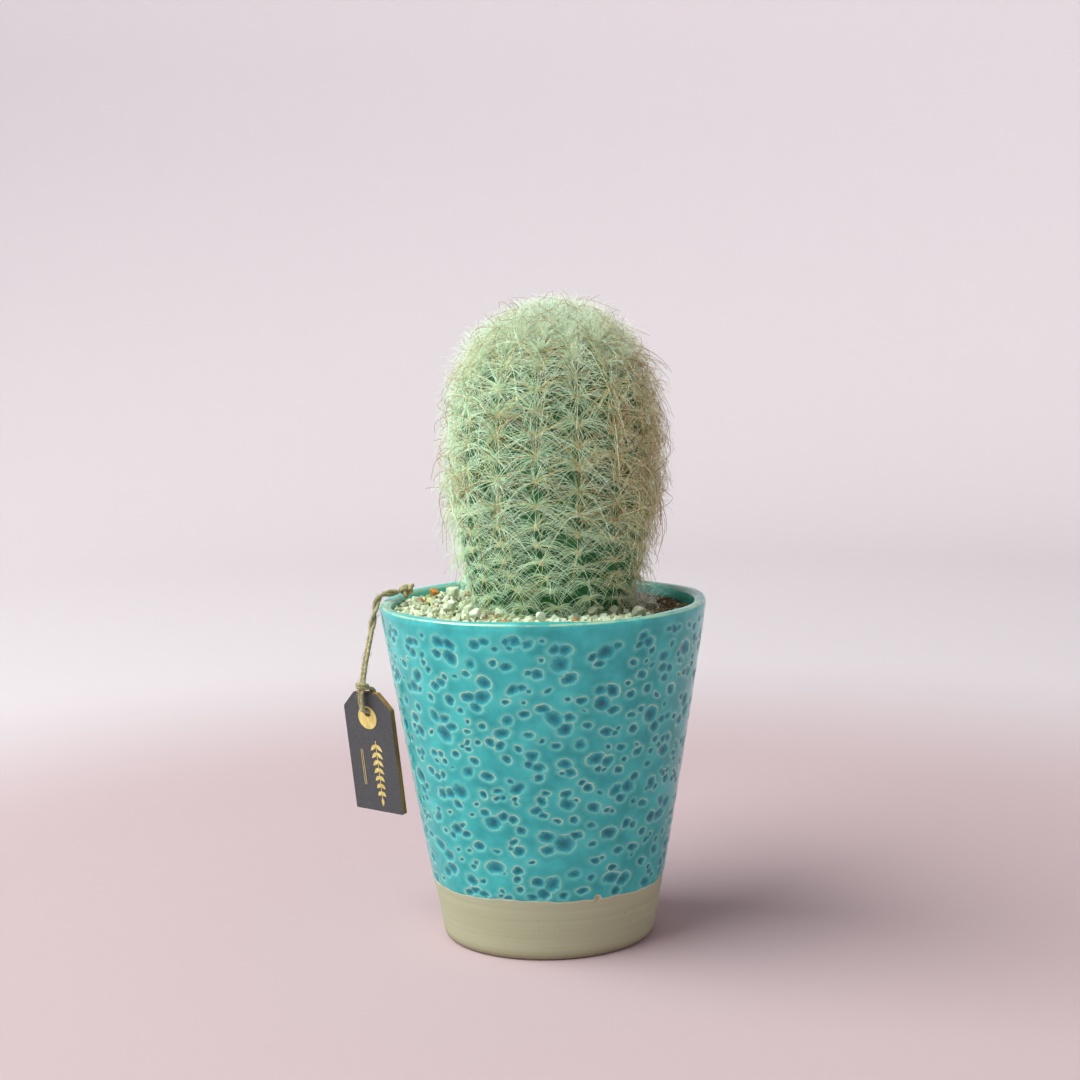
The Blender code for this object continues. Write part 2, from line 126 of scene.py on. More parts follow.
class Tree:
    """A node tree being built. An input may be a plain value, a socket or a node."""

    def __init__(self, tree):
        self.tree = tree
        self.given = {}  # the tree's own inputs, where it has any

    def add(self, kind, inputs=None, **settings):
        made = self.tree.nodes.new(kind)
        for name, value in settings.items():
            setattr(made, name, value)
        for name, value in (inputs or {}).items():
            self.join(made.inputs[name], value)
        return made

    def join(self, socket, value):
        if isinstance(value, bpy.types.Node):
            value = next(out for out in value.outputs if out.enabled)
        if isinstance(value, bpy.types.NodeSocket):
            self.tree.links.new(value, socket)
        else:
            socket.default_value = value

    def math(self, operation, a, b=0.0, c=0.0):
        return self.add("ShaderNodeMath", {0: a, 1: b, 2: c}, operation=operation)

    def vector(self, operation, a, b=None, scale=None):
        inputs = {0: a}
        if b is not None:
            inputs[1] = b
        if scale is not None:
            inputs["Scale"] = scale
        made = self.add("ShaderNodeVectorMath", inputs, operation=operation)
        return made.outputs["Value" if operation in ("DOT_PRODUCT", "LENGTH") else "Vector"]

    def mix(self, factor, a, b, kind="MIX"):
        made = self.add("ShaderNodeMix", data_type="RGBA", blend_type=kind)
        for index, value in ((0, factor), (6, a), (7, b)):
            self.join(made.inputs[index], value)
        return made.outputs[2]

    def step(self, value, low, high, to_low=0.0, to_high=1.0):
        """Eases from to_low at low to to_high at high."""
        inputs = {0: value, 1: low, 2: high, 3: to_low, 4: to_high}
        return self.add("ShaderNodeMapRange", inputs, interpolation_type="SMOOTHSTEP").outputs[0]

    def ramp(self, factor, stops):
        made = self.add("ShaderNodeValToRGB", {0: factor})
        band = made.color_ramp
        for place, colour in stops[2:]:
            band.elements.new(place)
        for element, (place, colour) in zip(band.elements, sorted(stops)):
            element.position, element.color = place, colour
        return made.outputs[0]

    def noise(self, scale, detail=3.0, roughness=0.55, stretch=(1, 1, 1), where=None):
        place = where or self.add("ShaderNodeTexCoord").outputs["Object"]
        mapped = self.add("ShaderNodeMapping", {"Vector": place, "Scale": stretch})
        inputs = {"Vector": mapped, "Scale": scale, "Detail": detail, "Roughness": roughness}
        return self.add("ShaderNodeTexNoise", inputs).outputs[0]

    def attribute(self, name):
        return self.add("ShaderNodeAttribute", attribute_name=name).outputs["Fac"]

    def times(self, a, b):
        return self.math("MULTIPLY", a, b)

    def scaled(self, way, factor):
        return self.vector("SCALE", way, scale=factor)

    def random(self, offset, low=-1.0, high=1.0, kind="FLOAT"):
        """A random value for each element, from the tree's Seed input plus offset."""
        made = self.add("FunctionNodeRandomValue", data_type=kind)
        ends = [socket for socket in made.inputs if socket.enabled and socket.name in ("Min", "Max")]
        self.join(ends[0], low)
        self.join(ends[1], high)
        self.join(made.inputs["Seed"], self.math("ADD", self.given["Seed"], float(offset)))
        return next(socket for socket in made.outputs if socket.enabled)

    def stored(self, geometry, name, kind, value):
        """The geometry with a value kept on its points by name."""
        made = self.add("GeometryNodeStoreNamedAttribute", data_type=kind, domain="POINT")
        made.inputs["Name"].default_value = name
        self.join(made.inputs["Geometry"], geometry)
        self.join(next(s for s in made.inputs if s.name == "Value" and s.enabled), value)
        return made.outputs["Geometry"]

    def read(self, name, kind="FLOAT"):
        made = self.add("GeometryNodeInputNamedAttribute", data_type=kind)
        made.inputs["Name"].default_value = name
        return next(s for s in made.outputs if s.name == "Attribute" and s.enabled)


def new_material(name):
    """A Principled material, with its tree and its shader."""
    made = bpy.data.materials.new(name)
    made.use_nodes = True
    tree = Tree(made.node_tree)
    shader = made.node_tree.nodes["Principled BSDF"]
    return made, tree, shader


def bump(tree, shader, height, distance, strength=1.0):
    made = tree.add("ShaderNodeBump", {"Height": height, "Distance": distance, "Strength": strength})
    tree.join(shader.inputs["Normal"], made)


def clouded(name, grain, stops, roughness, relief=None):
    """A material whose colour follows one noise. grain is that noise's scale, detail and stretch,
    and relief is the bump's noise scale and detail, its height in metres and its strength."""
    made, tree, shader = new_material(name)
    scale, detail, *stretch = grain
    colour = tree.ramp(tree.noise(scale, detail, stretch=stretch[0] if stretch else (1, 1, 1)), stops)
    tree.join(shader.inputs["Base Color"], colour)
    shader.inputs["Roughness"].default_value = roughness
    if relief:
        bump(tree, shader, tree.noise(*relief[:2]), *relief[2:])
    return made, tree, shader, colour


def let_light_in(shader, weight, radii, scale):
    """Subsurface scattering, with its reach in red, green and blue times scale in metres."""
    shader.inputs["Subsurface Weight"].default_value = weight
    shader.inputs["Subsurface Radius"].default_value = radii
    shader.inputs["Subsurface Scale"].default_value = scale


def linked(name, data):
    """A new object in the scene."""
    obj = bpy.data.objects.new(name, data)
    bpy.context.scene.collection.objects.link(obj)
    return obj


def hold(mesh, key, numbers):
    """Gives each point of the mesh its number or its vector, as an attribute."""
    numbers = np.asarray(numbers, np.float32)
    kind, field = ("FLOAT_VECTOR", "vector") if numbers.ndim == 2 else ("FLOAT", "value")
    mesh.attributes.new(key, kind, "POINT").data.foreach_set(field, numbers.ravel())


def set_map(mesh, places):
    """The piece's own UV map, from one (U, V) for each corner."""
    layer = mesh.uv_layers.new(name="OFBake")
    layer.uv.foreach_set("vector", places.astype(np.float32).ravel())


def unit_ball(subdivisions):
    """Points and faces of an icosphere of radius 1."""
    bm = bmesh.new()
    bmesh.ops.create_icosphere(bm, subdivisions=subdivisions, radius=1.0)
    points = [vert.co.copy() for vert in bm.verts]
    faces = [[vert.index for vert in face.verts] for face in bm.faces]
    bm.free()
    return points, faces


def mesh_piece(name, points, faces, materials, values=None):
    """A mesh object in the scene, with one float attribute for each entry of values."""
    mesh = bpy.data.meshes.new(name)
    faces = faces.tolist() if isinstance(faces, np.ndarray) else faces
    mesh.from_pydata([tuple(p) for p in points], [], faces)
    for key, numbers in (values or {}).items():
        hold(mesh, key, numbers)
    for material in materials:
        mesh.materials.append(material)
    mesh.shade_smooth()
    return linked(name, mesh)


def place_piece(obj, nodes=()):
    """Hands a finished piece to the frame."""
    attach(obj, BODY)
    if nodes:
        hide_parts(*nodes)
    return obj


def ring_faces(rows, columns, closed=True):
    """Quads between rings of points that are listed one after another."""
    row, column = np.meshgrid(
        np.arange(rows - 1), np.arange(columns if closed else columns - 1), indexing="ij"
    )
    after = (column + 1) % columns
    corners = (row * columns + column, row * columns + after)
    corners += ((row + 1) * columns + after, (row + 1) * columns + column)
    return np.stack(corners, -1).reshape(-1, 4)


def capped_faces(rows, columns, first_tip, last_tip):
    """The faces between closed rings, and a fan on each end that meets at a tip."""
    faces = ring_faces(rows, columns).tolist()
    last = (rows - 1) * columns
    for k in range(columns):
        after = (k + 1) % columns
        faces.append((first_tip, after, k))
        faces.append((last_tip, last + k, last + after))
    return faces


def strip_map(obj, columns, levels):
    """A UV map for capped_faces: the rings unrolled into one strip, and the fans on its ends."""
    left = np.arange(columns) / columns
    right = left + 1 / columns
    corners = []
    for low, high in zip(levels, levels[1:]):
        low, high = np.full(columns, low), np.full(columns, high)
        corners.append(np.stack([left, low, right, low, right, high, left, high], -1))
    places = np.concatenate(corners).reshape(-1, 2)
    first, last = np.full(columns, levels[0]), np.full(columns, levels[-1])
    middle = (left + right) / 2
    fans = [middle, 0 * first, right, first, left, first]
    fans += [middle, 0 * last + 1, left, last, right, last]
    places = np.concatenate([places, np.stack(fans, -1).reshape(-1, 2)])
    set_map(obj.data, places)


def spun_points(radii, heights, columns):
    """Rings about Z, one for each radius and height."""
    turns = np.arange(columns) * TURN / columns
    radii, heights = np.asarray(radii)[:, None], np.asarray(heights)[:, None]
    cos, sin = np.cos(turns)[None], np.sin(turns)[None]
    return np.stack([radii * cos, radii * sin, heights + 0 * cos], -1)


def between(a, b, c, d, t):
    """The point a share t of the way from b to c on a Catmull-Rom curve."""
    square, cube = 2 * a - 5 * b + 4 * c - d, 3 * b - a - 3 * c + d
    return 0.5 * (2 * b + (c - a) * t + square * t**2 + cube * t**3)


def smooth_route(points, spacing):
    """Points about spacing apart on a smooth curve through the given ones."""
    points = [Vector(p) for p in points]
    ends = [2 * points[0] - points[1], *points, 2 * points[-1] - points[-2]]
    route = []
    for a, b, c, d in zip(ends, ends[1:], ends[2:], ends[3:]):
        steps = max(1, round((c - b).length / spacing))
        route += [between(a, b, c, d, i / steps) for i in range(steps)]
    return [*route, points[-1]]


def carried_frames(route):
    """(side, other side) across the route at each point, turned as little as possible."""
    along = [(b - a).normalized() for a, b in zip(route, route[1:])]
    along.append(along[-1])
    side = along[0].orthogonal().normalized()
    frames = []
    for direction in along:
        side = (side - direction * side.dot(direction)).normalized()
        frames.append((side, direction.cross(side)))
    return frames


def tube_rings(route, radius_at, sides):
    """Rings of points round a route. radius_at takes the distance along it and the angle."""
    gone, rings = 0.0, []
    for i, (point, (side, other)) in enumerate(zip(route, carried_frames(route))):
        gone += (point - route[i - 1]).length if i else 0.0
        ring = []
        for k in range(sides):
            angle = TURN * k / sides
            offset = side * math.cos(angle) + other * math.sin(angle)
            ring.append(point + offset * radius_at(gone, angle))
        rings.append(ring)
    return rings


def add_rings(points, faces, rings):
    """Adds a closed tube to lists of points and faces, with a fan on each end."""
    first, sides = len(points), len(rings[0])
    points.extend(point for ring in rings for point in ring)
    faces.extend((ring_faces(len(rings), sides) + first).tolist())
    for ring, start in ((rings[0], first), (rings[-1], first + (len(rings) - 1) * sides)):
        points.append(sum(ring, Vector()) / sides)
        middle = len(points) - 1
        for k in range(sides):
            pair = (start + k, start + (k + 1) % sides)
            faces.append((middle, *(pair[::-1] if start == first else pair)))


# ---------------------------------------------------------------- camera, light and stage

CAMERA_AT = Vector((0.0, -0.7332, 0.2348))
CAMERA_PITCH = math.radians(6.80)
CAMERA_ROLL = math.radians(-1.24)
CAMERA_YAW = math.radians(-0.04)
LENS = 66.7
SWEEP_FLAT = 1.1  # radius of the flat floor
SWEEP_BEND = 0.5  # radius of the bend up to the wall
SWEEP_TOP = 0.9
SWEEP_COLUMNS = 96
WINDOW_AT = (-1.62, -0.50, 1.45)
WINDOW_AIM = (0.0, 0.0, 0.12)
WINDOW_SIZE = 2.6
WINDOW_POWER = 150.0


def make_camera():
    data = bpy.data.cameras.new("camera")
    data.lens = LENS
    data.sensor_width = 36.0
    data.clip_start, data.clip_end = 0.01, 20.0
    camera = linked("camera", data)
    ahead = Vector((
        math.sin(CAMERA_YAW) * math.cos(CAMERA_PITCH),
        math.cos(CAMERA_YAW) * math.cos(CAMERA_PITCH),
        -math.sin(CAMERA_PITCH),
    ))  # fmt: skip
    level = ahead.cross(Vector((0, 0, 1))).normalized()
    upward = level.cross(ahead)
    right = level * math.cos(CAMERA_ROLL) + upward * math.sin(CAMERA_ROLL)
    up = upward * math.cos(CAMERA_ROLL) - level * math.sin(CAMERA_ROLL)
    turn = Matrix((right, up, -ahead)).transposed().to_4x4()
    camera.matrix_world = Matrix.Translation(CAMERA_AT) @ turn
    bpy.context.scene.camera = camera


def make_window():
    data = bpy.data.lights.new("window", "AREA")
    data.shape = "RECTANGLE"
    data.size = data.size_y = WINDOW_SIZE
    data.energy = WINDOW_POWER
    data.color = (0.91, 1.0, 0.955)
    window = linked("window", data)
    window.location = WINDOW_AT
    facing = Vector(WINDOW_AIM) - Vector(WINDOW_AT)
    window.rotation_euler = facing.to_track_quat("-Z", "Y").to_euler()


def make_studio():
    """A pale sweep all round, open above, and one large soft window beyond it on the left."""
    paper, tree, shader = new_material("pale_paper")
    place = tree.add("ShaderNodeSeparateXYZ", {0: tree.add("ShaderNodeTexCoord").outputs["Object"]})
    wall = tree.mix(tree.step(place.outputs[2], 0.0, 0.45), srgb(209, 198, 203), srgb(204, 193, 199))
    level = tree.add("ShaderNodeCombineXYZ", {0: place.outputs[0], 1: place.outputs[1]})
    away = tree.step(tree.vector("LENGTH", level), 0.25, 0.60)
    tree.join(shader.inputs["Base Color"], tree.mix(away, srgb(188, 164, 169), wall))
    shader.inputs["Roughness"].default_value = 0.9
    turned_up = np.radians(np.arange(1, 11) * 9)
    radii = [0.001, 0.6, SWEEP_FLAT, *(SWEEP_FLAT + SWEEP_BEND * np.sin(turned_up)), SWEEP_FLAT + SWEEP_BEND]
    heights = [0.0, 0.0, 0.0, *(SWEEP_BEND - SWEEP_BEND * np.cos(turned_up)), SWEEP_TOP]
    rings = spun_points(radii, heights, SWEEP_COLUMNS)
    faces = ring_faces(len(radii), SWEEP_COLUMNS)[:, ::-1]
    mesh_piece("sweep", rings.reshape(-1, 3), faces, [paper])
    world = bpy.data.worlds.new("studio_air")
    bpy.context.scene.world = world
    world.use_nodes = True
    sky = world.node_tree.nodes["Background"]
    sky.inputs["Color"].default_value = (1.0, 0.955, 0.965, 1.0)
    sky.inputs["Strength"].default_value = 0.30
    make_window()
    bpy.context.scene.view_settings.view_transform = "Standard"


# ---------------------------------------------------------------- pot

POT_COLUMNS = 480
WALL_ROWS = 166  # rings on the glazed wall
PIT_COUNT = 900
GLAZE_LINE = 0.0232
NOTCH = (math.radians(-66.5), 0.0228)  # turn and height of a pit the glaze missed
GLAZE_THICKNESS = 0.00022


def outer_wall(z):
    t = (z - FOOT_BEVEL) / (LIP_START - FOOT_BEVEL)
    straight = FOOT_RADIUS + (RIM_RADIUS - FOOT_RADIUS) * t
    return straight + WALL_BULGE * 4 * np.maximum(t, 0) * np.maximum(1 - t, 0)


def glaze_line(turns):
    """Height of the glaze's lower edge round the pot, a little uneven as dipping leaves it."""
    ripple = 0.45 * np.sin(3 * turns + 0.6) + 0.22 * np.sin(7 * turns + 2.2)
    fine = 0.12 * np.sin(19 * turns + 1.1) + 0.08 * np.sin(43 * turns)
    return GLAZE_LINE + (ripple + fine - 0.3) * MM


def turned_from(start, turns):
    """The turn from start, between minus and plus half a turn."""
    return (turns - start + math.pi) % TURN - math.pi


def throw_pits():
    """Rows of (turn, height, half length, half width, tilt, paleness, depth, group) for the
    glaze's pits, the largest first, evenly spread with small touching groups."""
    draw = np.random.default_rng(11)
    lengths = np.sort(np.clip(draw.lognormal(math.log(2.15), 0.33, PIT_COUNT), 0.95, 4.1))[::-1]
    pits = np.zeros((0, 8))
    for length in lengths * MM:
        width = length * draw.uniform(0.55, 0.90)
        best, widest = None, 0.0
        grouped = len(pits) > 60 and draw.random() < 0.55
        for _ in range(24):
            if grouped:
                near = pits[draw.integers(len(pits))]
                if (pits[:, 7] == near[7]).sum() > 3:
                    continue
                away = draw.uniform(0, TURN)
                reach = (near[2] + near[3] + length + width) / 2 * draw.uniform(0.80, 0.98)
                height = near[1] + reach * math.sin(away)
                turn, group = near[0] + reach * math.cos(away) / float(outer_wall(near[1])), near[7]
            else:
                turn, height = draw.uniform(0, TURN), draw.uniform(GLAZE_LINE, LIP_START)
                group = len(pits)
            if not GLAZE_LINE + 0.8 * MM < height < LIP_START - 1.6 * MM - width:
                continue
            across = turned_from(turn, pits[:, 0]) * float(outer_wall(height))
            gaps = np.hypot(across, pits[:, 1] - height)
            room = gaps / ((pits[:, 2] + pits[:, 3] + length + width) / 2)
            outside = room[pits[:, 7] != group].min(initial=9.0)
            apart = abs(turned_from(NOTCH[0], turn)) * 0.042
            if math.hypot(apart, height - NOTCH[1]) < 3.2 * MM + length:
                continue
            if room.min(initial=9.0) > 0.74 and outside > 1.05 and min(outside, 2.2) > widest:
                widest = min(outside, 2.2)
                best = (turn, height, length, width, draw.normal(0.0, 0.34))
                best += (draw.uniform(0.5, 1.0) if draw.random() < 0.86 else draw.uniform(0.0, 0.3),)
                best += (draw.uniform(0.55, 1.0), group)
        if best:
            pits = np.vstack([pits, best])
    pits[:, 5] *= 1 - 0.55 * ease(LIP_START - 13 * MM, LIP_START - 4 * MM, pits[:, 1])
    return pits


def pit_fields(heights, pits):
    """For each point of the wall's grid: the distance to the nearest pit's edge, negative
    inside, the distance to the wall between two pits, the pit's paleness, size and depth, and how
    far uphill of its middle the point is."""
    turns = np.arange(POT_COLUMNS) * TURN / POT_COLUMNS
    fields = np.zeros((6, len(heights), POT_COLUMNS))
    for row, z in enumerate(heights):
        near = pits[np.abs(pits[:, 1] - z) < 9 * MM]
        fields[:, row] = np.array([9 * MM, 9 * MM, 0.0, 1 * MM, 1.0, 0.0])[:, None]
        if not len(near):
            continue
        radius = float(outer_wall(z))
        along = turns * radius
        shift_x = 0.22 * MM * np.sin(along / (1.3 * MM) + 4 * np.sin(z / (1.9 * MM)))
        shift_z = 0.22 * MM * np.sin(z / (1.2 * MM) + 4 * np.sin(along / (2.1 * MM)))
        across = turned_from(near[None, :, 0], turns[:, None]) * radius + shift_x[:, None]
        up = z - near[None, :, 1] + shift_z[:, None]
        cos, sin = np.cos(near[:, 4]), np.sin(near[:, 4])
        long_way = (across * cos + up * sin) / near[:, 2]
        short_way = (up * cos - across * sin) / near[:, 3]
        mean = np.sqrt(near[:, 2] * near[:, 3])
        away = (np.hypot(long_way, short_way) - 1) * mean
        order = np.argsort(away, axis=1)
        first = np.take_along_axis(away, order[:, :1], 1)[:, 0]
        second = first + 9 * MM
        if len(near) > 1:
            second = np.take_along_axis(away, order[:, 1:2], 1)[:, 0]
        fields[0, row] = first
        fields[1, row] = np.where(first < 0, (second - first) / 2, 9 * MM)
        fields[2, row] = near[order[:, 0], 5]
        fields[3, row] = mean[order[:, 0]]
        fields[4, row] = near[order[:, 0], 6]
        fields[5, row] = np.take_along_axis(short_way, order[:, :1], 1)[:, 0]
    return fields


def make_pot():
    """The pot's closed shell, with its pits, its glaze edge and its uneven lip in the mesh."""
    turns = np.arange(POT_COLUMNS) * TURN / POT_COLUMNS
    bare = np.linspace(FOOT_BEVEL, GLAZE_LINE - 3.2 * MM, 9)[:-1]
    heights = np.concatenate([bare, np.linspace(GLAZE_LINE - 3.2 * MM, LIP_START, WALL_ROWS)])
    edge, septum, pale, size, deep, uphill = pit_fields(heights, throw_pits())
    pale = pale * (0.62 + 0.38 * np.clip(uphill, -1, 1))
    inside = np.clip(-edge / size, 0, 1)
    hollow = (0.30 * MM + 0.13 * size) * (1 - (1 - inside) ** 2.2) * (0.6 + 0.4 * deep)
    hollow *= 0.30 + 0.70 * ease(0.05 * MM, 0.60 * MM, septum)
    ridge = 0.12 * MM * np.exp(-((edge / (0.50 * MM)) ** 2)) * (0.4 + 0.6 * pale)
    above = heights[:, None] - glaze_line(turns)[None]
    notch = np.hypot(
        turned_from(NOTCH[0], turns) * FOOT_RADIUS * 1.1,
        (heights[:, None] - NOTCH[1]) * 0.9,
    )
    above = np.minimum(above, notch - 1.55 * MM)
    crater = -0.55 * MM * (1 - ease(0.5 * MM, 1.7 * MM, notch))
    crater = crater + 0.10 * MM * np.exp(-(((notch - 1.9 * MM) / (0.4 * MM)) ** 2))
    glazed = ease(-0.15 * MM, 0.45 * MM, above)
    relief = (ridge - hollow) * glazed + GLAZE_THICKNESS * (glazed - 1) + crater
    wobble = 0.16 * MM * (np.sin(2 * turns + 0.7) + 0.6 * np.sin(5 * turns + 2.0))
    lift = 0.30 * MM * np.sin(3 * turns + 1.0) + 0.22 * MM * np.sin(7 * turns + 0.3)
    wall = outer_wall(heights)[:, None] + relief
    wall_z = heights[:, None] + lift[None] * ease(0.09, LIP_START, heights)[:, None]

    # lip and inside, from the outer wall's top over to the floor of the pot
    inner_centre = outer_wall(POT_HEIGHT - LIP_INNER_ROUND) - WALL + LIP_INNER_ROUND
    over = np.radians(np.linspace(8, 90, 6))
    lip_r = list(RIM_RADIUS - LIP_OUTER_ROUND + LIP_OUTER_ROUND * np.cos(over))
    lip_z = list(POT_HEIGHT - LIP_OUTER_ROUND + LIP_OUTER_ROUND * np.sin(over))
    down = np.radians(np.linspace(94, 180, 7))
    lip_r += list(inner_centre + LIP_INNER_ROUND * np.cos(down))
    lip_z += list(POT_HEIGHT - LIP_INNER_ROUND + LIP_INNER_ROUND * np.sin(down))
    inner_z = np.linspace(POT_HEIGHT - LIP_INNER_ROUND - 1.5 * MM, FLOOR_THICKNESS + 5 * MM, 12)
    lip_r += list(outer_wall(inner_z) - WALL)
    lip_z += list(inner_z)
    low = float(outer_wall(FLOOR_THICKNESS + 5 * MM)) - WALL
    lip_r += [low - 1.5 * MM, low - 5 * MM, 1 * MM]
    lip_z += [FLOOR_THICKNESS + 1.5 * MM, FLOOR_THICKNESS, FLOOR_THICKNESS]
    foot_r = [1 * MM, FOOT_RADIUS - 2.6 * MM, FOOT_RADIUS - 1.5 * MM, FOOT_RADIUS - 0.6 * MM]
    foot_z = [0.0, 0.0, 0.3 * MM, 1.2 * MM]

    def rings(radii, levels, sway):
        radii, levels = np.array(radii)[:, None], np.array(levels)[:, None]
        sway = np.array(sway)[:, None]
        return radii + wobble[None] * sway, levels + (lift[None] * sway)

    foot = rings(foot_r, foot_z, [0.0] * 4)
    upper_sway = [1.0] * 15 + [0.6, 0.3] + [0.0] * (len(lip_r) - 17)
    upper = rings(lip_r, lip_z, upper_sway)
    wall = wall + wobble[None] * ease(0.0, LIP_START, heights)[:, None]
    radii = np.concatenate([foot[0], wall, upper[0]])
    levels = np.concatenate([foot[1], wall_z, upper[1]])
    points = np.stack([radii * np.cos(turns), radii * np.sin(turns), levels], -1)
    rows = len(points)
    points = np.concatenate([points.reshape(-1, 3), [[0, 0, 0], [0, 0, FLOOR_THICKNESS]]])
    faces = capped_faces(rows, POT_COLUMNS, len(points) - 2, len(points) - 1)

    def column(middle, low_value, high_value):
        """One value for each point: the foot's, the wall's grid, then the lip and inside."""
        low_part = np.full(4 * POT_COLUMNS, low_value)
        high_part = np.full(len(lip_r) * POT_COLUMNS, high_value)
        return np.concatenate([low_part, middle.ravel(), high_part, [low_value, high_value]])

    pool = np.clip(inside * (1 - 0.35 * uphill), 0, 1) * (0.35 + 0.65 * deep)
    within = np.repeat(ease(2, 9, np.arange(len(lip_r))), POT_COLUMNS)
    within = np.concatenate([np.zeros(points.shape[0] - 2 - len(within)), within, [0.0, 1.0]])
    values = {
        "pit": column(edge / MM, 9.0, 9.0),
        "septum": column(septum / MM, 9.0, 9.0),
        "pale": column(pale, 0.0, 0.0),
        "pool": column(pool, 0.0, 0.0),
        "above": column(above / MM, -9.0, 9.0),
        "within": within,
    }
    pot = mesh_piece("glazed_pot", points, faces, [pot_finish()], values=values)
    share = np.repeat([1.0, 3.0, 1.0, 1.5], [4, 8, WALL_ROWS, len(lip_r)])
    strip_map(pot, POT_COLUMNS, np.cumsum(share) / share.sum())
    return place_piece(pot, ["pot"])


def pot_finish():
    """Turquoise glaze over bare stoneware. Pits are darker, where the glaze pools, and their
    raised edges are pale, where it runs thin."""
    made, tree, shader = new_material("pitted_turquoise_glaze")
    edge, septum = tree.attribute("pit"), tree.attribute("septum")
    pale, above, within = tree.attribute("pale"), tree.attribute("above"), tree.attribute("within")
    cloud = tree.noise(95, 4.0)
    drift = tree.noise(210, 2.0)
    grain = tree.noise(1000, 3.0)
    fine = tree.noise(2600, 2.0)
    rough_edge = tree.math("MULTIPLY_ADD", tree.math("SUBTRACT", grain, 0.5), 0.35, edge)

    thin = [(0.32, srgb(34, 144, 147)), (0.68, srgb(64, 182, 182)), (0.5, srgb(47, 162, 164))]
    field = tree.ramp(cloud, thin)
    halo = tree.step(rough_edge, 0.0, 1.7, 0.62, 0.0)
    colour = tree.mix(halo, field, srgb(94, 186, 180))
    speckle = tree.math("ADD", tree.times(grain, 0.5), tree.times(fine, 0.5))
    depth = tree.math("MULTIPLY_ADD", tree.math("SUBTRACT", speckle, 0.5), 0.9, tree.attribute("pool"))
    pooled = tree.ramp(depth, [
        (0.02, srgb(80, 184, 184)), (0.90, srgb(2, 88, 106)),
        (0.28, srgb(32, 144, 152)), (0.56, srgb(10, 114, 128)),
    ])  # fmt: skip
    inside = tree.step(rough_edge, 0.05, -0.25)
    colour = tree.mix(inside, colour, pooled)
    nearest = tree.math("MINIMUM", tree.math("ABSOLUTE", edge), septum)
    line = tree.times(tree.step(nearest, 0.44, 0.04), pale)
    line = tree.times(line, tree.step(drift, 0.34, 0.60, 0.20, 1.0))
    line = tree.times(line, tree.step(grain, 0.25, 0.6, 0.55, 0.95))
    colour = tree.mix(line, colour, srgb(204, 212, 184))
    speck = tree.step(fine, 0.70, 0.76, 0.0, 0.4)
    colour = tree.mix(speck, colour, srgb(60, 150, 160))

    height = tree.add("ShaderNodeSeparateXYZ", {0: tree.add("ShaderNodeTexCoord").outputs["Object"]})
    # the inside's smooth glaze, painted lighter than the outer glaze: painted light for the light the inner
    # wall catches
    liner = tree.ramp(tree.noise(160, 3.0), [(0.3, srgb(66, 186, 174)), (0.75, srgb(98, 212, 198))])
    dark = tree.step(tree.noise(420, 2.0), 0.71, 0.76, 0.0, 0.7)
    liner = tree.mix(dark, liner, srgb(36, 84, 84))
    colour = tree.mix(within, colour, liner)
    below = tree.math("ABSOLUTE", tree.math("SUBTRACT", height.outputs[2], POT_HEIGHT - 0.55 * MM))
    crest = tree.step(below, 0.55 * MM, 0.1 * MM)
    crest = tree.times(crest, tree.step(drift, 0.35, 0.6, 0.25, 0.8))
    colour = tree.mix(crest, colour, srgb(178, 204, 168))

    rings = tree.noise(60, 4.0, stretch=(0.25, 0.25, 14))
    clay = tree.ramp(rings, [(0.3, srgb(162, 163, 133)), (0.7, srgb(173, 173, 144))])
    dusk = tree.step(height.outputs[2], 4.5 * MM, 1.0 * MM, 0.0, 0.45)
    clay = tree.mix(dusk, clay, srgb(128, 112, 86))
    fleck = tree.step(tree.noise(1300, 2.0), 0.70, 0.74, 0.0, 0.5)
    clay = tree.mix(fleck, clay, srgb(84, 70, 50))
    bare = tree.step(above, 0.12, -0.12)
    cream = tree.times(tree.step(above, -0.75, -0.2), tree.step(above, 0.3, 0.0))
    clay = tree.mix(tree.times(cream, 0.7), clay, srgb(206, 203, 178))
    colour = tree.mix(bare, colour, clay)
    tree.join(shader.inputs["Base Color"], colour)

    gloss = tree.step(tree.noise(220, 3.0), 0.3, 0.75, 0.07, 0.20)
    tree.join(shader.inputs["Roughness"], tree.math("MAXIMUM", gloss, tree.times(bare, 0.78)))
    shader.inputs["IOR"].default_value = 1.5
    skin = tree.times(cloud, 0.35)
    relief = tree.math("ADD", tree.times(line, 0.30), skin)
    matte = tree.math("MULTIPLY_ADD", rings, 0.15, tree.times(grain, 0.25))
    tone = tree.add("ShaderNodeMix", {0: bare, 2: relief, 3: matte}, data_type="FLOAT")
    bump(tree, shader, tone.outputs[0], 0.0004, 0.5)
    return made


# ---------------------------------------------------------------- gravel and soil


BED_HOLE = 0.0262  # radius of the bed's edge round the stem
GRAIN_DENSITY = 900000.0


def gravel_height(x, y):
    """Mean top of the dressing: heaped toward -X and sunk a little along the wall."""
    edge = np.maximum(0.0, np.hypot(x, y) - 0.046) / 0.008
    front = np.maximum(0.0, -y) * 0.012
    return GRAVEL_LEVEL - GRAVEL_RISE * x / 0.05 + front - 0.0007 * edge**2


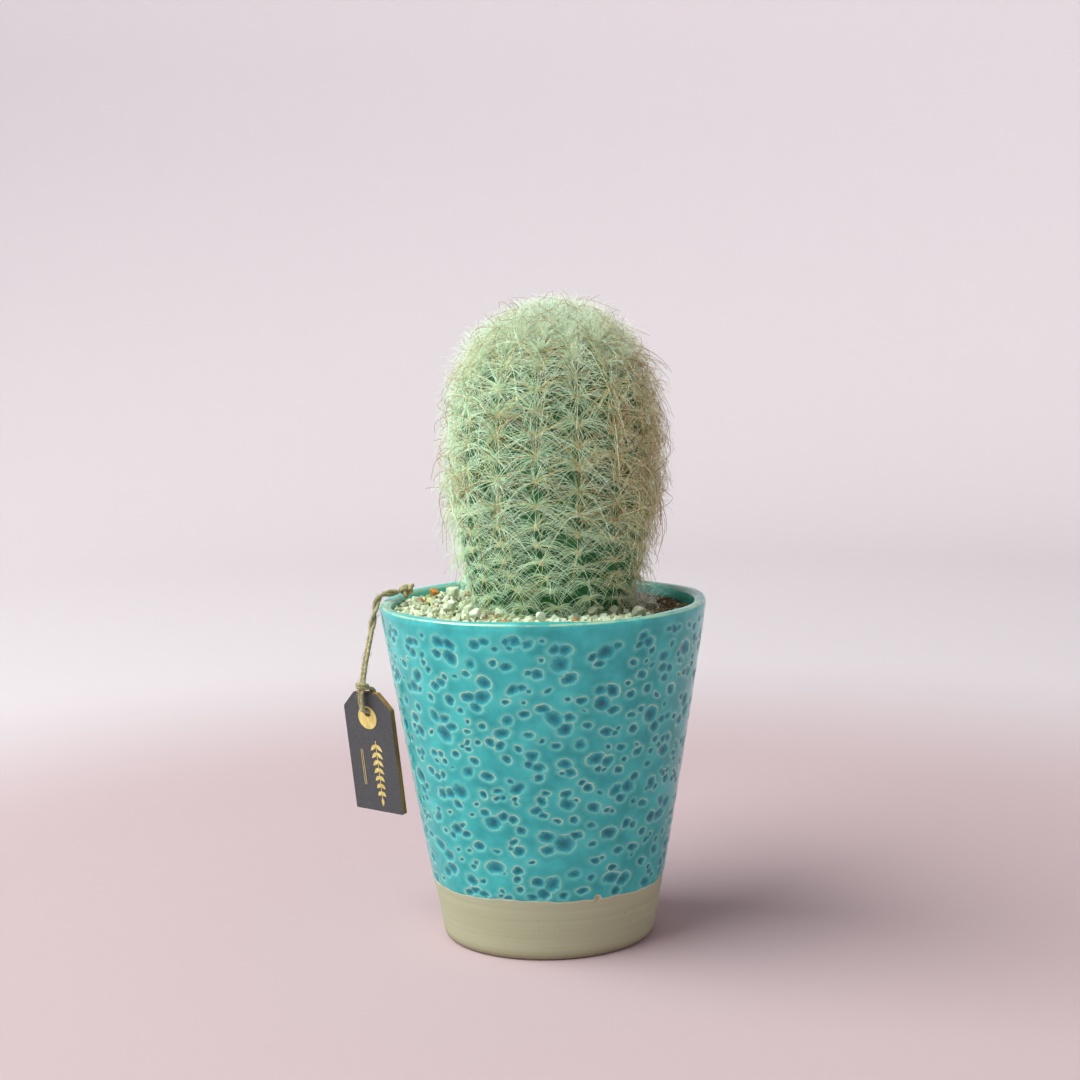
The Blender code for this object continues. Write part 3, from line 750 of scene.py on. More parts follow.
def make_bed():
    """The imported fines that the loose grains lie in."""
    rows, columns = 16, 120
    turns = np.arange(columns) * TURN / columns
    hole, wall = BED_HOLE, float(outer_wall(GRAVEL_LEVEL - 3 * MM)) - WALL - 0.3 * MM
    points = []
    for share in np.linspace(0.0, 1.0, rows):
        x = (1 - share) * (hole * np.cos(turns) + STEM_BASE.x) + share * wall * np.cos(turns)
        y = (1 - share) * hole * np.sin(turns) + share * wall * np.sin(turns)
        bumps = 0.25 * MM * np.sin(x * 1900 + 3 * np.sin(y * 900)) * np.sin(y * 2100)
        low = 2.1 * MM - 1.2 * MM * ease(0.0, 0.03, x)
        points.append(np.stack([x, y, gravel_height(x, y) - low + bumps], -1))
    faces = ring_faces(rows, columns)[:, ::-1]
    return np.concatenate(points), faces


def grain_finish(name, stops, rough, dust):
    """Quartz grains: one tone a grain, cloudy inside, with a little dust on them."""
    made, tree, shader = new_material(name)
    tone = tree.attribute("tone")
    colour = tree.ramp(tone, stops)
    vein = tree.noise(420, 3.0)
    cloud = tree.ramp(vein, [(0.3, (0.74, 0.76, 0.64, 1)), (0.65, (1, 1, 1, 1))])
    colour = tree.mix(0.55, colour, cloud, "MULTIPLY")
    stain = tree.step(tree.noise(260, 2.0), 0.60, 0.72, 0.0, dust)
    colour = tree.mix(stain, colour, srgb(170, 122, 66))
    tree.join(shader.inputs["Base Color"], colour)
    tree.join(shader.inputs["Roughness"], tree.step(vein, 0.3, 0.7, rough, rough + 0.3))
    let_light_in(shader, 0.25, (1.0, 0.8, 0.5), 0.001)
    bump(tree, shader, tree.noise(1500, 3.0), 0.0003, 0.4)
    return made


def new_tree(name, floats, wholes):
    """A geometry tree with these float and whole inputs, a Material and a Geometry."""
    group = bpy.data.node_groups.new(name, "GeometryNodeTree")
    entries = [("Geometry", "Geometry"), *((key, "Float") for key in floats)]
    entries += [*((key, "Int") for key in wholes), ("Material", "Material")]
    for key, kind in entries:
        group.interface.new_socket(key, in_out="INPUT", socket_type="NodeSocket" + kind)
    group.interface.new_socket("Geometry", in_out="OUTPUT", socket_type="NodeSocketGeometry")
    tree = Tree(group)
    tree.given = tree.add("NodeGroupInput").outputs
    return group, tree, tree.given


def grown(name, source, group, values, keep=()):
    """The result of a node group on source, as a plain mesh in a new object."""
    modifier = source.modifiers.new("make", "NODES")
    modifier.node_group = group
    for item in group.interface.items_tree:
        if item.item_type == "SOCKET" and item.in_out == "INPUT" and item.name in values:
            modifier[item.identifier] = values[item.name]
    source.update_tag()
    graph = bpy.context.evaluated_depsgraph_get()
    mesh = bpy.data.meshes.new_from_object(
        source.evaluated_get(graph), preserve_all_data_layers=True, depsgraph=graph
    )
    source.modifiers.remove(modifier)
    for layer in [a.name for a in mesh.attributes]:
        needed = layer in keep or layer in ("position", "sharp_face", "material_index")
        if not needed and not layer.startswith("."):
            mesh.attributes.remove(mesh.attributes[layer])
    mesh.name = name
    return linked(name, mesh)


def finish_tree(tree, geometry, material):
    """Ends a tree with its instances realized and its material set."""
    real = tree.add("GeometryNodeRealizeInstances", {"Geometry": geometry})
    finish = tree.add("GeometryNodeSetMaterial", {"Geometry": real, "Material": material})
    tree.join(tree.add("NodeGroupOutput").inputs["Geometry"], finish)


def grain_tree():
    """Grains on a surface: scattered, turned and scaled at random, then roughened."""
    sizes = ("Spacing", "Density", "Smallest", "Largest", "Heap", "Roughness")
    group, tree, given = new_tree("scatter_grains", sizes, ("Roundness", "Seed"))
    scattered = tree.add(
        "GeometryNodeDistributePointsOnFaces",
        {
            "Mesh": given["Geometry"], "Distance Min": given["Spacing"],
            "Density Max": given["Density"], "Density Factor": tree.read("share"),
            "Seed": given["Seed"],
        },
        distribute_method="POISSON",
    )  # fmt: skip
    tone = tree.random(1, 0.0, 1.0)
    points = tree.stored(scattered.outputs["Points"], "tone", "FLOAT", tone)
    rise = tree.random(2, 0.0, given["Heap"])
    lifted = tree.add(
        "GeometryNodeSetPosition",
        {"Geometry": points, "Offset": tree.add("ShaderNodeCombineXYZ", {2: rise})},
    )
    size = tree.random(3, given["Smallest"], given["Largest"])
    shape = tree.random(4, (0.7, 0.6, 0.55), (1.3, 1.1, 0.95), "FLOAT_VECTOR")
    turn = tree.random(5, (0.0, 0.0, 0.0), (TURN, TURN, TURN), "FLOAT_VECTOR")
    lifted = tree.stored(lifted, "grain_size", "FLOAT", size)
    ball = tree.add("GeometryNodeMeshIcoSphere", {"Radius": 1.0, "Subdivisions": given["Roundness"]})
    laid = tree.add(
        "GeometryNodeInstanceOnPoints",
        {"Points": lifted, "Instance": ball.outputs["Mesh"], "Rotation": turn,
         "Scale": tree.scaled(shape, size)},
    )  # fmt: skip
    solid = tree.add("GeometryNodeRealizeInstances", {"Geometry": laid.outputs["Instances"]})
    place = tree.add("GeometryNodeInputPosition")
    local = tree.add(
        "ShaderNodeTexNoise", {"Vector": place, "Scale": 430.0, "Detail": 1.0, "Roughness": 0.5}
    )
    swell = tree.times(tree.math("SUBTRACT", local.outputs[0], 0.5), given["Roughness"])
    swell = tree.times(swell, tree.read("grain_size"))
    push = tree.scaled(tree.add("GeometryNodeInputNormal").outputs[0], swell)
    rough = tree.add("GeometryNodeSetPosition", {"Geometry": solid, "Offset": push})
    finish_tree(tree, rough, given["Material"])
    return group


def make_gravel():
    """Coarse quartz on the left and in front, fine brown grit behind on the right."""
    fines = [(0.3, srgb(86, 66, 44)), (0.7, srgb(176, 156, 118))]
    sand = clouded("packed_fines", (1500, 4.0), fines, 0.95, (1800, 4.0, 0.0005, 0.8))[0]
    points, faces = make_bed()
    x, y = points[:, 0], points[:, 1]
    turned = np.cos(np.arctan2(y, x) - math.radians(28))
    coarse = 1 - ease(0.15, 0.75, turned + 0.12 * np.sin(x * 700) * np.sin(y * 600))
    bed = mesh_piece("gravel_fines", points, faces, [sand])
    place_piece(bed, ["gravel_bed"])

    cream = grain_finish(
        "cream_quartz_grain",
        [(0.0, srgb(180, 186, 152)), (1.0, srgb(198, 132, 62)), (0.45, srgb(202, 213, 184)),
         (0.78, srgb(222, 234, 216)), (0.90, srgb(200, 200, 136)), (0.955, srgb(152, 156, 136))],
        0.22, 0.25,
    )  # fmt: skip
    brown = grain_finish(
        "brown_grit_grain",
        [(0.0, srgb(86, 66, 42)), (1.0, srgb(196, 184, 150)), (0.35, srgb(128, 104, 70)),
         (0.65, srgb(158, 136, 98)), (0.85, srgb(72, 58, 44))],
        0.5, 0.3,
    )  # fmt: skip
    group = grain_tree()
    loads = (
        ("quartz_gravel_coarse", coarse, cream, (0.0030, 0.0014, 0.0025, 0.0012, 2.0), 3),
        ("quartz_gravel_small", 0.10 + 0.90 * coarse, cream, (0.0017, 0.0007, 0.0013, 0.0014, 2.0), 5),
        ("brown_grit", 1 - 0.80 * coarse, brown, (0.0012, 0.0004, 0.0009, 0.0013, 1.0), 8),
    )
    for name, share, finish, (spacing, small, large, heap, rough), seed in loads:
        base = mesh_piece(name + "_base", points, faces, [], values={"share": share})
        values = {
            "Spacing": spacing, "Density": GRAIN_DENSITY, "Smallest": small, "Largest": large,
            "Heap": heap, "Roughness": rough, "Roundness": 1,
            "Seed": seed, "Material": finish,
        }  # fmt: skip
        grains = grown(name, base, group, values, keep=("tone",))
        grains.data.shade_flat()
        bpy.data.objects.remove(base)
        place_piece(grains)
    make_pebbles(cream)
    finish_soil()


def make_pebbles(cream):
    """The larger loose stones, each round its own CAD stone."""
    draw = np.random.default_rng(4)
    nodes = sorted(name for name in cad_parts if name.startswith("gravel_stone"))
    points, faces, tones = [], [], []
    ball, ball_faces = unit_ball(4)
    for name in nodes:
        low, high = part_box(name)
        middle, half = (low + high) / 2, (high - low) / 2
        cuts = draw.normal(size=(9, 3))
        cuts /= np.linalg.norm(cuts, axis=1)[:, None]
        depths = draw.uniform(0.52, 0.82, 9)
        first = len(points)
        shape = []
        for spot in np.array(ball):
            facing = np.maximum(cuts @ spot, 1e-3)
            shape.append(spot * min(1.0, float((depths / facing).min())))
        shape = np.array(shape)
        shape = (shape - shape.min(axis=0)) / np.ptp(shape, axis=0) * 2 - 1
        shape[:, :2] *= 0.88
        points += [middle + Vector((p[0] * half.x, p[1] * half.y, p[2] * half.z)) for p in shape]
        tone = float(draw.uniform(0.3, 0.8)) if draw.random() < 0.75 else 1.0
        tone = 0.955 if middle.x > 0.012 else tone
        tones += [tone] * len(ball)
        faces += [[first + index for index in face] for face in ball_faces]
    pebbles = mesh_piece("loose_quartz_pebbles", points, faces, [cream], values={"tone": tones})
    place_piece(pebbles, nodes)


def finish_soil():
    browns = [(0.3, srgb(36, 25, 18)), (0.75, srgb(78, 58, 42))]
    peat = clouded("damp_potting_soil", (700, 5.0), browns, 0.95, (900, 4.0, 0.001, 0.7))[0]
    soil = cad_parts["potting_soil"]
    if not soil.material_slots:
        soil.data.materials.append(peat)
    for slot in soil.material_slots:
        slot.link = "OBJECT"
        slot.material = peat


# ---------------------------------------------------------------- stem

STEM_COLUMNS = STEM_RIBS * 16
STEM_ROWS = 170
STEM_LEAVES_GRAVEL = 0.1215
RIBS_START, RIBS_FULL = 0.1130, 0.1300  # heights between which the ribs deepen
RIBS_WIDTH = 0.024  # stem radius under which they fade toward the crown
KNOB_HEIGHT = 0.00055  # swelling of a rib round an areole
AREOLE_PITCH = (  # distance up the outline from the gravel, and the spacing there in mm
    (0.0, 5.2), (0.016, 5.4), (0.030, 6.8), (0.050, 8.2), (0.090, 8.2), (0.112, 6.0), (0.150, 4.2),
)  # fmt: skip


def outline_table():
    """(distance along, height, radius) samples of the stem's outline, neck to apex."""
    control = np.array(STEM_OUTLINE)
    padded = np.vstack([2 * control[0] - control[1], control, 2 * control[-1] - control[-2]])
    samples = []
    for a, b, c, d in zip(padded, padded[1:], padded[2:], padded[3:]):
        samples += [between(a, b, c, d, t) for t in np.linspace(0, 1, 24, endpoint=False)]
    samples = np.array([*samples, control[-1]])
    samples[:, 1] = np.maximum(samples[:, 1], 0.0)
    gone = np.concatenate([[0], np.cumsum(np.linalg.norm(np.diff(samples, axis=0), axis=1))])
    return gone, samples[:, 0], samples[:, 1]


OUTLINE = outline_table()
STEM_LENGTH = OUTLINE[0][-1]
GROUND = float(np.interp(STEM_LEAVES_GRAVEL, OUTLINE[1], OUTLINE[0]))  # along the outline


def areole_count(gone):
    """How many areoles a rib has between the gravel and a distance along the outline."""
    grid = np.linspace(0, STEM_LENGTH - GROUND, 400)
    pitch = np.interp(grid, [p[0] for p in AREOLE_PITCH], [p[1] * MM for p in AREOLE_PITCH])
    count = np.concatenate([[0], np.cumsum(np.diff(grid) / pitch[1:])])
    return np.interp(np.asarray(gone) - GROUND, grid, count), grid, count


def twist_at(z):
    """How far the ribs have turned from straight at a height."""
    return BASE_TWIST * (1 - ease(TWIST_FOOT, TWIST_TOP, z))


def stem_points(gone, turns):
    """Surface points for arrays of distance along the outline and turn about the axis."""
    z = np.interp(gone, OUTLINE[0], OUTLINE[1])
    crest = np.interp(gone, OUTLINE[0], OUTLINE[2])
    twist = twist_at(z)
    rib = (turns - FIRST_RIB - twist) / (TURN / STEM_RIBS)
    across = np.abs(2 * (rib % 1.0) - 1)
    fade = ease(RIBS_START, RIBS_FULL, z) * np.minimum(1.0, crest / RIBS_WIDTH)
    radius = crest - RIB_DEPTH * 1.15 * fade * (1 - across) ** 1.15
    number = np.round(rib).astype(int) % STEM_RIBS
    phase = areole_count(gone)[0] - 0.5 * (number % 2)
    knob = np.cos(TURN * phase) * ease(0.45, 1.0, across) * fade
    radius = np.minimum(radius + KNOB_HEIGHT * knob, crest + 0.0003)
    x = STEM_BASE.x + STEM_LEAN * (z - STEM_BASE.z) + radius * np.cos(turns)
    return np.stack([x, radius * np.sin(turns), z + 0 * turns], -1)


def stem_finish():
    """Dark green blotches under a thin waxy bloom."""
    greens = [(0.3, srgb(18, 74, 34)), (0.7, srgb(40, 116, 58))]
    made, tree, shader, colour = clouded(
        "green_cactus_skin", (180, 4.0), greens, 0.55, (1600, 4.0, 0.0003, 0.5)
    )
    waxy = tree.step(tree.noise(1400, 3.0), 0.45, 0.8, 0.0, 0.25)
    tree.join(shader.inputs["Base Color"], tree.mix(waxy, colour, srgb(100, 148, 96)))
    let_light_in(shader, 0.15, (0.5, 1.0, 0.4), 0.002)
    return made


def make_stem():
    gone = np.linspace(0.0, STEM_LENGTH - 0.0004, STEM_ROWS)
    turns = np.arange(STEM_COLUMNS) * TURN / STEM_COLUMNS
    grid = stem_points(gone[:, None] + 0 * turns[None], turns[None] + 0 * gone[:, None])
    tips = [grid[0].mean(axis=0), grid[-1].mean(axis=0)]
    points = np.concatenate([grid.reshape(-1, 3), tips])
    faces = capped_faces(STEM_ROWS, STEM_COLUMNS, len(points) - 2, len(points) - 1)
    stem = mesh_piece("cactus_stem_skin", points, faces, [stem_finish()])
    return place_piece(stem, ["cactus_stem"])


def areoles():
    """Place, outward and upward direction and size of each areole, from the gravel to the crown."""
    _, grid, count = areole_count(0.0)
    draw = np.random.default_rng(23)
    found = []
    for number in range(STEM_RIBS):
        for k in range(40):
            wanted = k + 0.5 * (number % 2)
            if wanted >= count[-1]:
                break
            gone = GROUND + float(np.interp(wanted, count, grid)) + draw.normal(0.0008, 0.0004)
            if gone > STEM_LENGTH - (0.0035 if number % 2 else 0.0060):
                break
            z = float(np.interp(gone, OUTLINE[0], OUTLINE[1]))
            turn = FIRST_RIB + float(twist_at(z)) + TURN * number / STEM_RIBS
            here = Vector(stem_points(np.array(gone), np.array(turn)))
            above = Vector(stem_points(np.array(gone + 0.001), np.array(turn)))
            side = Vector((-math.sin(turn), math.cos(turn), 0.0))
            up = (above - here).normalized()
            up = (up + side * draw.normal(0.0, 0.16)).normalized()
            out = side.cross(up).normalized()
            out = (out + side * draw.normal(0.0, 0.12) + up * draw.normal(0.0, 0.10)).normalized()
            size = (0.55 + 0.45 * float(ease(0.122, 0.152, z))) * draw.uniform(0.84, 1.14)
            found.append((here, out, up, size, z))
    return found


# ---------------------------------------------------------------- hairs and spines

# The hair tree's numbers: hairs per areole, lengths in mm, tilts off the skin and the fan about
# the sideways direction in radians, the lean upward, how closely a hair hugs the stem, how it
# droops, sweeps sideways and curls, and its radii in micrometres
HAIR_INPUTS = (
    "Hairs", "Shortest", "Longest", "Flattest", "Steepest", "Fan", "Upward", "Hug", "Droop", "Sweep",
    "Curl", "Root Radius", "Tip Radius",
)  # fmt: skip
HAIR_UNITS = {"Shortest": MM, "Longest": MM, "Root Radius": MM * MM, "Tip Radius": MM * MM}
STEM_WIDTH = 0.070
ROOT_SPREAD = 0.0007  # how far a hair's root may lie from its areole's middle
CURL_TURN = 5.2  # radians of wave along a hair


def hair_tree():
    """Tapered hairs from points that hold out, up, size and a warm tint, partly random patches and
    partly painted warm shade on the side away from the window. Each leaves at its own angle,
    bends toward the stem and the ground, and curls a little."""
    group, tree, given = new_tree("grow_hairs", HAIR_INPUTS, ("Points", "Seed"))
    times, scaled, drawn = tree.times, tree.scaled, tree.random

    def summed(first, *others):
        for other in others:
            first = tree.vector("ADD", first, other)
        return first

    amount = times(given["Hairs"], drawn(10, 0.72, 1.28))
    copies = {"Geometry": given["Geometry"], "Amount": amount}
    bearing = tree.add("GeometryNodeDuplicateElements", copies, domain="POINT").outputs["Geometry"]
    out, up = tree.read("out", "FLOAT_VECTOR"), tree.read("up", "FLOAT_VECTOR")
    side = tree.vector("CROSS_PRODUCT", up, out)
    flip = tree.math("ROUND", drawn(3, 0.0, 1.0))
    spread = tree.math("ADD", drawn(1), drawn(2))
    angle = tree.math("MULTIPLY_ADD", spread, given["Fan"], times(flip, math.pi))
    across, along = scaled(side, tree.math("COSINE", angle)), scaled(up, tree.math("SINE", angle))
    flat = tree.vector("NORMALIZE", summed(across, along, scaled(up, given["Upward"])))
    tilt = drawn(4, given["Flattest"], given["Steepest"])
    reach = times(drawn(5, given["Shortest"], given["Longest"]), tree.read("size"))
    grow = summed(scaled(flat, tree.math("COSINE", tilt)), scaled(out, tree.math("SINE", tilt)))
    # the stem falls away from its tangent by reach squared over its own width
    hug = times(times(reach, reach), times(given["Hug"], -1 / STEM_WIDTH))
    droop = tree.add("ShaderNodeCombineXYZ", {2: times(reach, times(given["Droop"], -1.0))})
    swing = scaled(tree.vector("CROSS_PRODUCT", grow, out), times(reach, times(given["Sweep"], drawn(6))))
    any_way = drawn(7, (-1.0, -1.0, -1.0), (1.0, 1.0, 1.0), "FLOAT_VECTOR")
    root = summed(tree.add("GeometryNodeInputPosition"), scaled(any_way, ROOT_SPREAD))
    # a random share plus the areole's warm tint, whose part on the side away from the window is painted warm
    # shade
    tone = tree.math("MULTIPLY_ADD", drawn(9, 0.0, 1.0), 0.52, tree.read("patch_and_shade_warmth"))
    for name, kind, value in (
        ("root", "FLOAT_VECTOR", root),
        ("grow", "FLOAT_VECTOR", scaled(grow, reach)),
        ("bend", "FLOAT_VECTOR", summed(scaled(out, hug), droop, swing)),
        ("curl", "FLOAT_VECTOR", scaled(any_way, times(reach, given["Curl"]))),
        ("phase", "FLOAT", drawn(8, 0.0, TURN)),
        ("tone", "FLOAT", tone),
    ):
        bearing = tree.stored(bearing, name, kind, value)
    straight = tree.add("GeometryNodeCurvePrimitiveLine")
    line = tree.add("GeometryNodeResampleCurve", {"Curve": straight, "Count": given["Points"]})
    hairs = tree.add("GeometryNodeInstanceOnPoints", {"Points": bearing, "Instance": line})
    hairs = tree.add("GeometryNodeRealizeInstances", {"Geometry": hairs.outputs["Instances"]})
    t = tree.add("GeometryNodeSplineParameter").outputs["Factor"]
    phase = tree.read("phase")
    turned = tree.math("SINE", tree.math("MULTIPLY_ADD", t, CURL_TURN, phase))
    wave = tree.math("SUBTRACT", turned, tree.math("SINE", phase))
    shares = (("grow", t), ("bend", times(t, t)), ("curl", wave))
    moves = [scaled(tree.read(name, "FLOAT_VECTOR"), share) for name, share in shares]
    place = summed(tree.read("root", "FLOAT_VECTOR"), *moves)
    shaped = tree.add("GeometryNodeSetPosition", {"Geometry": hairs, "Position": place})
    shaped = tree.stored(shaped, "along", "FLOAT", t)
    ends = {0: t, 2: given["Root Radius"], 3: given["Tip Radius"]}
    taper = tree.add("ShaderNodeMix", ends, data_type="FLOAT").outputs[0]
    thick = tree.add("GeometryNodeSetCurveRadius", {0: shaped, 2: taper})
    ring = tree.add("GeometryNodeCurvePrimitiveCircle", {"Resolution": 3, "Radius": 1.0}).outputs["Curve"]
    tubes = tree.add(
        "GeometryNodeCurveToMesh",
        {"Curve": thick, "Profile Curve": ring, "Fill Caps": True, "Scale": taper},
    )
    finish_tree(tree, tree.add("GeometryNodeSetShadeSmooth", {"Geometry": tubes}), given["Material"])
    return group


def hair_finish(name, stops, warm, share, roughness=0.5):
    """A hair's colours from root to tip, and the warmer colour that some hairs lean to: at random, and as
    painted warm shade on the side away from the window.
    """
    made, tree, shader = new_material(name)
    colour = tree.ramp(tree.attribute("along"), stops)
    # the warm colour: random warm hairs, and painted warm shade where the tone carries the side away from
    # the window
    colour = tree.mix(tree.step(tree.attribute("tone"), 0.25, 1.0, 0.0, share), colour, warm)
    tree.join(shader.inputs["Base Color"], colour)
    shader.inputs["Roughness"].default_value = roughness
    shader.inputs["Specular IOR Level"].default_value = 0.3
    return made


def areole_base(name, spots):
    """A mesh of loose points that hold what hair_tree reads."""
    places, outs, ups, sizes, _ = zip(*spots)
    mesh = bpy.data.meshes.new(name)
    mesh.from_pydata(places, [], [])
    patch_and_shade_warmth = []
    for here, out in zip(places, outs):
        # random warm patches, plus painted warm shade on areoles that face +X, away from the window
        patch = 0.5 + 0.5 * math.sin(here.x * 95 + 1.7) * math.sin(here.z * 70 + here.y * 60 + 0.5)
        patch_and_shade_warmth.append(0.12 * patch + 0.44 * float(ease(0.0, 0.95, out.x)))
    for key, numbers in (("out", outs), ("up", ups), ("size", sizes), ("patch_and_shade_warmth", patch_and_shade_warmth)):
        hold(mesh, key, numbers)
    return linked(name, mesh)


def hair_map(obj):
    """A UV map with U along each hair and V by its tone, so that one small gradient holds all."""
    mesh = obj.data
    values = []
    for key in ("along", "tone"):
        numbers = np.empty(len(mesh.vertices), np.float32)
        mesh.attributes[key].data.foreach_get("value", numbers)
        values.append(numbers)
    corners = np.empty(len(mesh.loops), np.int32)
    mesh.loops.foreach_get("vertex_index", corners)
    around = (corners % 3) / 3
    along, tone = (numbers[corners] for numbers in values)
    places = np.stack([0.02 + 0.95 * along + 0.008 * around, 0.02 + 0.93 * tone + 0.03 * around], -1)
    set_map(mesh, places)


HAIR_KINDS = (  # name, zone, finish and points along a hair, then one number for each of HAIR_INPUTS
    ("arched_hairs_low", "low", "white", 10, 38, 8, 17, 0, 0.42, 0.52, 0.62, 1.15, 0.66, 0.3, 0.04, 80, 40),
    ("arched_hairs_middle", "middle", "white", 11, 33, 9, 19, 0, 0.55, 0.6, 0.58, 1.15, 0.64, 0.36, 0.04,
     105, 50),
    ("arched_hairs_high", "high", "white", 11, 30, 9, 19, 0.05, 0.6, 0.95, 0.45, 1.05, 0.4, 0.4, 0.04,
     110, 50),
    ("star_hairs", "all", "white", 7, 6, 4, 10, 0.15, 0.8, 1.6, 0, 0.9, 0.15, 0.3, 0.05, 105, 50),
    ("long_arcs", "upper", "white", 14, 2.6, 17, 27, 0.3, 0.75, 0.9, 0.55, 1.55, 0.3, 0.8, 0.03, 165, 80),
    ("halo_wool_low", "low", "wool", 9, 12, 6, 11, 0.3, 0.9, 1, 0.25, 1.2, 0.18, 0.4, 0.08, 60, 34),
    ("halo_wool_middle", "middle", "wool", 10, 32, 11, 18.5, 0.4, 1.05, 1.2, 0.35, 1.45, 0.12, 0.5, 0.1,
     60, 32),
    ("halo_wool_high", "high", "wool", 9, 30, 9.5, 15, 0.4, 1.1, 1.3, 0.3, 0.85, 0.06, 0.4, 0.09, 62, 32),
    ("crown_fleece", "crown", "wool", 7, 62, 6, 10, 0.5, 1.45, 1.5, 0.2, 0.3, 0.05, 0.3, 0.09, 66, 32),
    ("straw_spines_low", "low", "straw", 12, 3, 8, 16, 0.25, 0.75, 1, 0.3, 1.6, 0.18, 0.8, 0.05, 135, 55),
    ("straw_spines_upper", "upper", "straw", 14, 4.5, 16, 28, 0.3, 0.8, 0.9, 0.28, 1.75, 0.2, 1, 0.04,
     165, 60),
    ("brown_spines", "upper", "brown", 14, 3.6, 16, 28, 0.6, 1.15, 1.2, 0.4, 1.8, 0.05, 0.9, 0.05, 150, 52),
    ("side_spines", "side", "tan", 14, 8, 18, 28, 0.6, 1.05, 1.2, 0.5, 2.3, 0.02, 1, 0.06, 125, 45),
    ("crown_spines", "crown", "brown", 12, 2.4, 12, 21, 0.4, 1.1, 1.6, 0.4, 1, 0, 0.8, 0.05, 145, 52),
    ("outer_wool_high", "high", "wool", 9, 24, 10, 17, 0.4, 1.1, 1.3, 0.3, 0.85, 0.06, 0.4, 0.09, 62, 32),
    ("outer_fleece", "crown", "wool", 7, 38, 7, 12, 0.5, 1.45, 1.5, 0.2, 0.3, 0.05, 0.3, 0.09, 66, 32),
)  # fmt: skip


def hair_finishes():
    whites = [(0.0, srgb(208, 236, 190)), (1.0, srgb(226, 254, 226)), (0.2, srgb(216, 252, 212))]
    wools = [(0.0, srgb(222, 240, 198)), (1.0, srgb(238, 253, 234)), (0.3, srgb(230, 252, 222))]
    straws = [(0.0, srgb(206, 196, 130)), (1.0, srgb(150, 104, 58)), (0.55, srgb(216, 206, 148))]
    browns = [
        (0.0, srgb(206, 184, 112)), (1.0, srgb(104, 60, 46)),
        (0.4, srgb(186, 144, 88)), (0.75, srgb(148, 96, 66)),
    ]  # fmt: skip
    tans = [(0.0, srgb(226, 212, 150)), (1.0, srgb(158, 112, 80)), (0.5, srgb(216, 190, 134))]
    # each finish's second colour is its warm tint, brightened to stand in for light: random warm hairs, and
    # painted warm shade on the side away from the window
    return {
        "white": hair_finish("white_hair", whites, srgb(255, 238, 182), 0.85),
        "wool": hair_finish("pale_wool", wools, srgb(255, 240, 188), 0.85),
        "straw": hair_finish("straw_spine", straws, srgb(176, 146, 88), 0.6, 0.4),
        "brown": hair_finish("brown_spine", browns, srgb(150, 92, 62), 0.7, 0.4),
        "tan": hair_finish("tan_spine", tans, srgb(196, 152, 104), 0.6, 0.4),
    }


def make_plant_cover():
    """Wool, hairs and spines on every areole, and a pad of felt under them."""
    spots = areoles()
    group, finishes = hair_tree(), hair_finishes()
    levels = {"low": (0.0, 0.156), "middle": (0.156, 0.194), "high": (0.194, 1.0), "upper": (0.156, 1.0),
              "crown": (0.214, 1.0), "all": (0.0, 1.0)}  # fmt: skip
    zones = {zone: [s for s in spots if low <= s[4] < high] for zone, (low, high) in levels.items()}
    zones["side"] = [s for s in spots if 0.154 <= s[4] < 0.216 and s[1].x > 0.5]
    for number, (name, zone, finish, points, *sizes) in enumerate(HAIR_KINDS):
        base = areole_base(name + "_roots", zones[zone])
        values = {key: size * HAIR_UNITS.get(key, 1.0) for key, size in zip(HAIR_INPUTS, sizes)}
        values |= {"Points": points, "Seed": 40 + 17 * number, "Material": finishes[finish]}
        piece = grown(name, base, group, values, keep=("along", "tone"))
        bpy.data.objects.remove(base)
        hair_map(piece)
        place_piece(piece)
    make_areole_pads(spots)


def make_cotton_wisp():
    """A loose tuft of seed cotton caught between the stem and the gravel on the right."""
    whites = [(0.3, srgb(232, 232, 226)), (0.7, srgb(246, 246, 242))]
    down = clouded("cotton_down", (300, 2.0), whites, 0.8)[0]
    draw = np.random.default_rng(31)
    points, faces = [], []
    for _ in range(150):
        spot = Vector((0.0350, -0.0140, 0.1262)) + Vector(draw.normal(0, 1, 3)) * 0.0024
        way = Vector((draw.normal(0.6, 0.8), draw.normal(-0.1, 0.8), draw.normal(0.65, 0.7))).normalized()
        line = [spot]
        for _ in range(5):
            way = (way + Vector(draw.normal(0, 0.45, 3))).normalized()
            line.append(line[-1] + way * 0.0016)
        add_rings(points, faces, tube_rings(line, lambda gone, angle: 0.000032, 3))
    place_piece(mesh_piece("cotton_wisp", points, faces, [down]))


def make_areole_pads(spots):
    """A small tan wool pad at each areole."""
    tans = [(0.3, srgb(188, 172, 116)), (0.7, srgb(226, 218, 178))]
    felt = clouded("tan_felt", (2200, 3.0), tans, 0.95, (3000, 3.0, 0.0004, 0.9))[0]
    points, faces = [], []
    draw = np.random.default_rng(7)
    ball, ball_faces = unit_ball(2)
    for here, out, up, size, _ in spots:
        side = up.cross(out)
        first = len(points)
        for spot in ball:
            d = spot * (1 + 0.25 * float(draw.uniform(-1, 1)))
            offset = side * d.x * 0.95 + up * d.y * 1.25 + out * (d.z * 0.7 + 0.25)
            points.append(here + offset * MM * size)
        faces += [[first + index for index in face] for face in ball_faces]
    place_piece(mesh_piece("areole_wool_pads", points, faces, [felt]))


# ---------------------------------------------------------------- twine, knot and pin

STRAND = 0.00068  # radius of one strand
YARN_TURNS = 420  # turns of the yarns in a strand, per metre
TWIST_TURNS = 70  # turns of the two strands round each other, per metre
TWIST_END = 0.021  # how far along the twine they stay twisted


